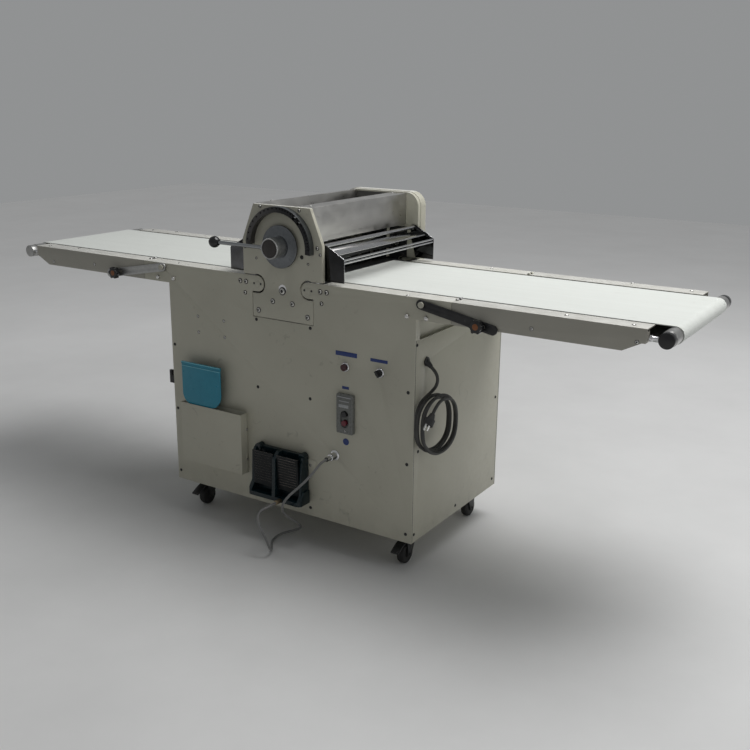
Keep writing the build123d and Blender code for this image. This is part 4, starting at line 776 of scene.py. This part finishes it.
# Cords: a grey round cable from the panel socket to the foot switch, slack over the floor,
# and a black mains lead that leaves the right side and hangs in a coil with its plug.
def cord_curve(name, route, radius, material, nodes):
    """A flexible cord on one smooth line through its route, in the solids' millimetres."""
    data = bpy.data.curves.new(name, "CURVE")
    data.dimensions = "3D"
    data.bevel_depth = radius
    data.bevel_resolution = 5
    data.resolution_u = 6
    data.use_fill_caps = True
    spline = data.splines.new("NURBS")
    spline.points.add(len(route) - 1)
    for point, at in zip(spline.points, route):
        point.co = (at[0] / 1000, at[1] / 1000 + mid, at[2] / 1000, 1.0)
    spline.order_u = 3
    spline.use_endpoint_u = True
    data.materials.append(material)
    cord = bpy.data.objects.new(name, data)
    bpy.context.scene.collection.objects.link(cord)
    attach(cord, "cabinet")
    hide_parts(*nodes)
    return cord


grey_sheath = sheath("grey_cable", 0.55, (0.17, 0.17, 0.17), (0.24, 0.24, 0.235), 25.0, 700.0, 0.2)
black_sheath = sheath("black_lead", 0.55, (0.034, 0.034, 0.032), (0.07, 0.07, 0.066), 25.0, 700.0, 0.2)
foot_route = [(198, -335.5, 338), (198, -361.5, 338), (192, -382.5, 320), (170, -393.5, 288), (134, -397.5, 250),
              (98, -397.5, 216), (68, -391.5, 180), (50, -373.5, 142), (48, -339.5, 108), (60, -303.5, 78),
              (50, -269.5, 44), (12, -259.5, 20), (-26, -285.5, 9), (-26, -331.5, 5.0), (0, -369.5, 4.6),
              (28, -403.5, 9), (44, -433.5, 34), (38, -443.5, 70), (18, -443.5, 100), (4, -442.5, 127),
              (8, -434.5, 156), (24, -412.5, 164), (24, -374.5, 164)]
foot_cord = cord_curve("foot_switch_cable", foot_route, 0.004, grey_sheath, ["foot_cable"])
lead_route = [(496.85, -221, 657.85), (512.94, -221, 644.35), (520, -220, 624), (515, -219, 602), (502, -223, 584),
              (493, -236, 571), (488, -256, 561), (488, -276, 546), (488, -290, 522)]
coil_left = Vector((488, -290))
coil_right = Vector((516, -152))
coil_high = 501.5
coil_low = 473.5
along = (coil_right - coil_left).normalized()
outward = Vector((along.y, -along.x))
pitch = 11.4                     # from one turn of the coil to the next
left_shift = (0, 5, -3, 6, 1)
right_shift = (0, -4, 5, -2)
for k in range(4):
    left = coil_left + outward * pitch * k - along * left_shift[k]
    right = coil_right + outward * (pitch * k + pitch / 2) + along * right_shift[k]
    next_left = coil_left + outward * (pitch * (k + 1) + (12 if k == 3 else 0)) - along * left_shift[k + 1]
    for low, a, b in ((True, left, right), (False, right, next_left)):
        reach = (b - a).length / 2 / math.cos(math.radians(15))
        for n in range(6):
            turn = math.radians(15 + 30 * n)
            if k == 3 and not low and n > 3:
                continue
            at = (a + b) / 2 - (b - a).normalized() * reach * math.cos(turn)
            rise = reach * math.sin(turn)
            lead_route.append((at.x, at.y, coil_low - rise if low else coil_high + rise))
radius = (b - a).length / 2
ahead = (b - a).normalized()
last = math.radians(138)
for turn, reach in ((math.radians(129), radius / math.cos(math.radians(9))), (last, radius)):
    at = (a + b) / 2 - ahead * reach * math.cos(turn)
    lead_route.append((at.x, at.y, coil_high + reach * math.sin(turn)))
tail = Vector(lead_route.pop())
heading = Vector((ahead.x * math.sin(last), ahead.y * math.sin(last), math.cos(last)))
lead_route.append(tuple(tail + heading * 10))
power_cord = cord_curve("mains_lead", lead_route, 0.005, black_sheath, ["power_lead", "power_coil"])


# Mains plug: moulded rubber round the blades, on the free end of the lead.
# The two flat blades and the round pin are nickel-plated.
nickel = bare_steel("nickel_pins", (0.74, 0.74, 0.73), (0.60, 0.60, 0.59), 0.18, 0.3, (200, 200, 200))
plug_rubber = moulded("plug_rubber", (0.02, 0.02, 0.021), (0.04, 0.04, 0.041), 0.45, 0.6)
plug_bm = copied("power_plug")
plug_start = Vector((tail.x / 1000, tail.y / 1000 + mid, tail.z / 1000)) + heading * 0.010
for face in plug_bm.faces:
    if (face.calc_center_median() - plug_start).dot(heading) > 0.0382:
        face.material_index = 1
plug = piece(eased(plug_bm, 0.0012, 3), "mains_plug", plug_rubber, "cabinet", ["power_plug"], [nickel])


# Fasteners: zinc-plated pan-head and socket screws hold the sheets, plates and rails.
# Each lies on its panel; places are in millimetres, as seen from the front, the side or above.
zinc = bare_steel("zinc_screws", (0.70, 0.69, 0.66), (0.34, 0.33, 0.31), 0.16, 0.36, (300, 300, 300))
dark_zinc_and_shade = bare_steel("dark_screws_and_painted_shade", (0.09, 0.09, 0.09), (0.04, 0.04, 0.04), 0.35, 0.5, (300, 300, 300))
bright_zinc = bare_steel("bright_screws", (0.76, 0.75, 0.73), (0.58, 0.57, 0.55), 0.2, 0.36, (300, 300, 300))


def screw(bm, at, out, size, tall):
    """A rounded screw head whose recess is painted dark as shade, standing on a thin dark ring that is a painted
    shadow.
    """
    earlier = set(bm.faces)
    turned(bm, [(0.0, 0.0), (0.0, 1.3 * size), (0.0004, 1.3 * size), (0.0004, size), (0.45 * tall, size),
                (0.8 * tall, 0.84 * size), (tall, 0.52 * size), (0.3 * tall, 0.46 * size), (0.3 * tall, 0.0)],
           at, out, 18)
    # the recess and the thin ring round the head take the dark finish: painted shade and painted shadow
    for face in bm.faces:
        away = face.calc_center_median() - Vector(at)
        reach = (away - Vector(out) * away.dot(Vector(out))).length
        if face not in earlier and (reach < 0.48 * size or reach > 1.05 * size):
            face.material_index = 1


def face_screws(bm, places, size, tall, y=front, way=-1):
    """Screws in the front or rear face, at (x, z)."""
    for x, z in places:
        screw(bm, (x / 1000, y, z / 1000), (0, way, 0), size, tall)


def top_screws(bm, places):
    """Screws in the top flanges, at (x, y)."""
    for x, y in places:
        screw(bm, (x / 1000, y / 1000 + mid, 0.875), (0, 0, 1), 0.0045, 0.0024)


def screw_piece(bm, name, material, body="cabinet"):
    piece(bm, name, material, body, others=[dark_zinc_and_shade])


heads = bmesh.new()
face_screws(heads, ((-107, 509), (103, 506), (-106, 734), (106, 734), (100, 135), (459, 589), (459, 364), (459, 136),
                    (-468, 599), (-468, 370), (-468, 139)), 0.0042, 0.0022)
for y, z in ((-277, 733), (263, 435), (264, 135), (-6, 133), (-273, 135), (-259, 401)):
    for sx in (1, -1):
        screw(heads, (sx * 0.480, y / 1000 + mid, z / 1000), (sx, 0, 0), 0.0042, 0.0022)
face_screws(heads, [(x, z) for x in (-450, -200, 200, 450) for z in (135, 450, 720)], 0.0042, 0.0022, rear, 1)
screw_piece(heads, "panel_screws", dark_zinc_and_shade)
heads = bmesh.new()
for x, z, size in ((0, 837, 10), (-38.5, 801, 7), (38.5, 801, 7), (-96, 766, 7), (96, 766, 7), (-100, 931, 3.5),
                   (100, 931, 3.5), (-135, 982, 5), (135, 982, 5), (-145, 963, 4), (145, 963, 4), (-81, 1093, 4.5),
                   (69, 1090, 4.5)):
    face_screws(heads, [(x, z)], size / 1000, 0.0035)
for x, z, size in ((144.5, 852, 6.5), (168, 852, 6.5), (149, 816, 5.5)):
    face_screws(heads, [(-x, z), (x, z)], size / 1000, 0.0045)
screw_piece(heads, "head_screws", zinc)
heads = bmesh.new()
face_screws(heads, [(x, 850) for x in (-111.5, -85.5, 85.5, 111.5)], 0.0028, 0.0008)
face_screws(heads, [(77, 950)], 0.005, 0.003)
screw_piece(heads, "lug_screws", dark_zinc_and_shade)
lug_covers = bmesh.new()
for x in (-drive_x, drive_x):
    turned(lug_covers, [(0.0, 0.0), (0.0, 0.0102), (0.0003, 0.0102), (0.0005, 0.0098), (0.0005, 0.0)],
           (x, front, roller_z), (0, -1, 0), 40)
piece(lug_covers, "lug_covers", ivory, "cabinet")
heads = bmesh.new()
face_screws(heads, ((-357, 711), (-356, 657), (-244, 710), (-242, 655)), 0.0042, 0.0022)
for z in (0.355, 0.250):
    screw(heads, (-0.1545, front - 0.0055, z), (1, 0, 0), 0.0036, 0.002)
for x, y, z in ((-102, -205, 1100.5), (76, -240, 1098.5), (-102, 263, 1100.5), (66, 246, 1098.5)):
    turned(heads, [(0.0, 0.0), (0.0, 0.0042), (0.0022, 0.0040), (0.0032, 0.0026), (0.0034, 0.0)],
           (x / 1000, y / 1000 + mid, z / 1000), (0, 0, 1), 24)
screw(heads, (0.245, front - 0.015, 0.431), (0, -1, 0), 0.003, 0.0015)
screw(heads, (0.1035, front - 0.0030, 0.2838), (0, -1, 0), 0.0035, 0.0018)
screw_piece(heads, "bright_screws", bright_zinc)
heads = bmesh.new()
for x, z in ((451, 817), (514, 819), (-457, 827), (-528, 825)):
    turned(heads, [(0.0, 0.0), (0.0, 0.0075), (0.004, 0.0075), (0.007, 0.0058), (0.0088, 0.003), (0.0092, 0.0)],
           (x / 1000, front, z / 1000), (0, -1, 0), 24)
top_screws(heads, ((446, -277), (-455, -260), (444, 266), (-450, 270)))
screw_piece(heads, "wing_screws", bright_zinc)
for side, flat, upright in (("right", ((917, -256), (916, 280), (1100, -262), (1100, 262)),
                             ((834, 833), (1119, 838), (626, 824))),
                            ("left", ((-965, -243), (-987, 280), (-1100, -262), (-1100, 262)),
                             ((-840, 836), (-1055, 824)))):
    heads = bmesh.new()
    top_screws(heads, flat)
    face_screws(heads, upright, 0.0045, 0.0024)
    face_screws(heads, upright, 0.0045, 0.0024, rear, 1)
    screw_piece(heads, f"{side}_rail_screws", bright_zinc, f"{side}_table")


# Blank plates: blue anodised strips and a round one beside the switches, a pale one on the button station.
# They are glued on and left without lettering; two pale ribs over the station's plate are painted highlights of its top
# edges.
blue = moulded("blue_anodised", (0.012, 0.036, 0.17), (0.022, 0.050, 0.21), 0.3, 0.42)
strips = bmesh.new()
depth = 0.0008
for x0, x1, z0, z1 in ((201, 279, 665, 679), (327, 387, 664, 674), (225, 250, 561, 570)):
    block(strips, ((x1 - x0) / 1000, depth, (z1 - z0) / 1000),
          ((x0 + x1) / 2000, front - depth / 2, (z0 + z1) / 2000))
turned(strips, [(0.0, 0.0), (0.0, 0.0112), (0.0006, 0.0112), (0.0009, 0.0108), (0.0009, 0.0)], (0.239, front, 0.391),
       (0, -1, 0), 36)
piece(eased(strips, 0.0003), "blank_plates", blue, "cabinet")
pale = moulded("pale_plate_and_highlight", (0.42, 0.43, 0.44), (0.36, 0.37, 0.38), 0.35, 0.5)
label = bmesh.new()
block(label, (0.036, depth, 0.010), (0.240, front - 0.0154, 0.511))
# the two pale ribs stand for light on the station's top edges: painted highlights
for z, wide in ((0.5395, 0.048), (0.5265, 0.036)):
    block(label, (wide, 0.0016, 0.0030), (0.242, front - 0.0155, z))
piece(eased(label, 0.0002), "station_plate", pale, "cabinet")


# Studio: a pale seamless floor, a broad soft light overhead and a weaker one from the right.
# The floor glows for the camera more and more away from the machine, a painted light; the camera stands at its front
# right, a little above its head.
pale_floor, tree, shader = finish_of("pale_floor", 0.7)
clouds = shared(tree, mottle, Scale=1.5)
fill(shader.inputs["Base Color"], blended(tree, clouds, (0.76, 0.76, 0.755), (0.69, 0.69, 0.685)))
# the floor glows for camera and glossy rays from 0.9 m out: painted light
away = added(tree, "VectorMath", "LENGTH")
fill(away.inputs[0], object_place(tree))
ray = added(tree, "LightPath").outputs
looked_at = maths(tree, "MAXIMUM", ray["Is Camera Ray"], ray["Is Glossy Ray"])
floor_glow = maths(tree, "MULTIPLY", ranged(tree, away.outputs["Value"], 0.0, 1.0, 0.9, 3.0), looked_at)
fill(shader.inputs["Emission Color"], blended(tree, floor_glow, (0.0, 0.0, 0.0), (0.15, 0.15, 0.15)))
shader.inputs["Emission Strength"].default_value = 1.0
ground = bmesh.new()
bmesh.ops.create_grid(ground, x_segments=1, y_segments=1, size=9.0)
ground_mesh = bpy.data.meshes.new("floor")
ground.to_mesh(ground_mesh)
ground.free()
floor = bpy.data.objects.new("floor", ground_mesh)
ground_mesh.materials.append(pale_floor)
bpy.context.scene.collection.objects.link(floor)


def soft_light(name, place, aim, width, power):
    lamp = bpy.data.lights.new(name, "AREA")
    lamp.shape = "SQUARE"
    lamp.size = width
    lamp.energy = power
    obj = bpy.data.objects.new(name, lamp)
    obj.location = place
    obj.rotation_euler = (Vector(aim) - Vector(place)).to_track_quat("-Z", "Y").to_euler()
    bpy.context.scene.collection.objects.link(obj)


soft_light("overhead", (1.3, 0.9, 4.0), (0.3, 0.1, 0.6), 2.6, 115)
soft_light("right_side", (4.2, 0.2, 2.2), (0.3, 0, 0.6), 2.2, 12)
world = bpy.data.worlds.new("studio")
bpy.context.scene.world = world
world.use_nodes = True
sky = world.node_tree
background = sky.nodes["Background"]
fill(background.inputs["Color"], (0.97, 0.99, 1.0))
ray = added(sky, "LightPath").outputs
seen = maths(sky, "ADD", ray["Is Camera Ray"], maths(sky, "ADD", ray["Is Glossy Ray"], ray["Is Transmission Ray"]))
seen.node.use_clamp = True
fill(background.inputs["Strength"], ranged(sky, seen, 0.17, 0.29))
view = bpy.data.cameras.new("photo_view")
view.sensor_width = 36.0
view.lens = 46.57
view.clip_end = 100.0
eye = bpy.data.objects.new("photo_view", view)
eye.matrix_world = (Matrix.Translation((1.83327, -2.62107 + mid, 1.43673))
                    @ Matrix.Rotation(math.radians(32.558), 4, "Z")
                    @ Matrix.Rotation(math.radians(73.639), 4, "X")
                    @ Matrix.Rotation(math.radians(0.532), 4, "Z"))
bpy.context.scene.collection.objects.link(eye)
bpy.context.scene.camera = eye
bpy.context.scene.view_settings.view_transform = "Standard"
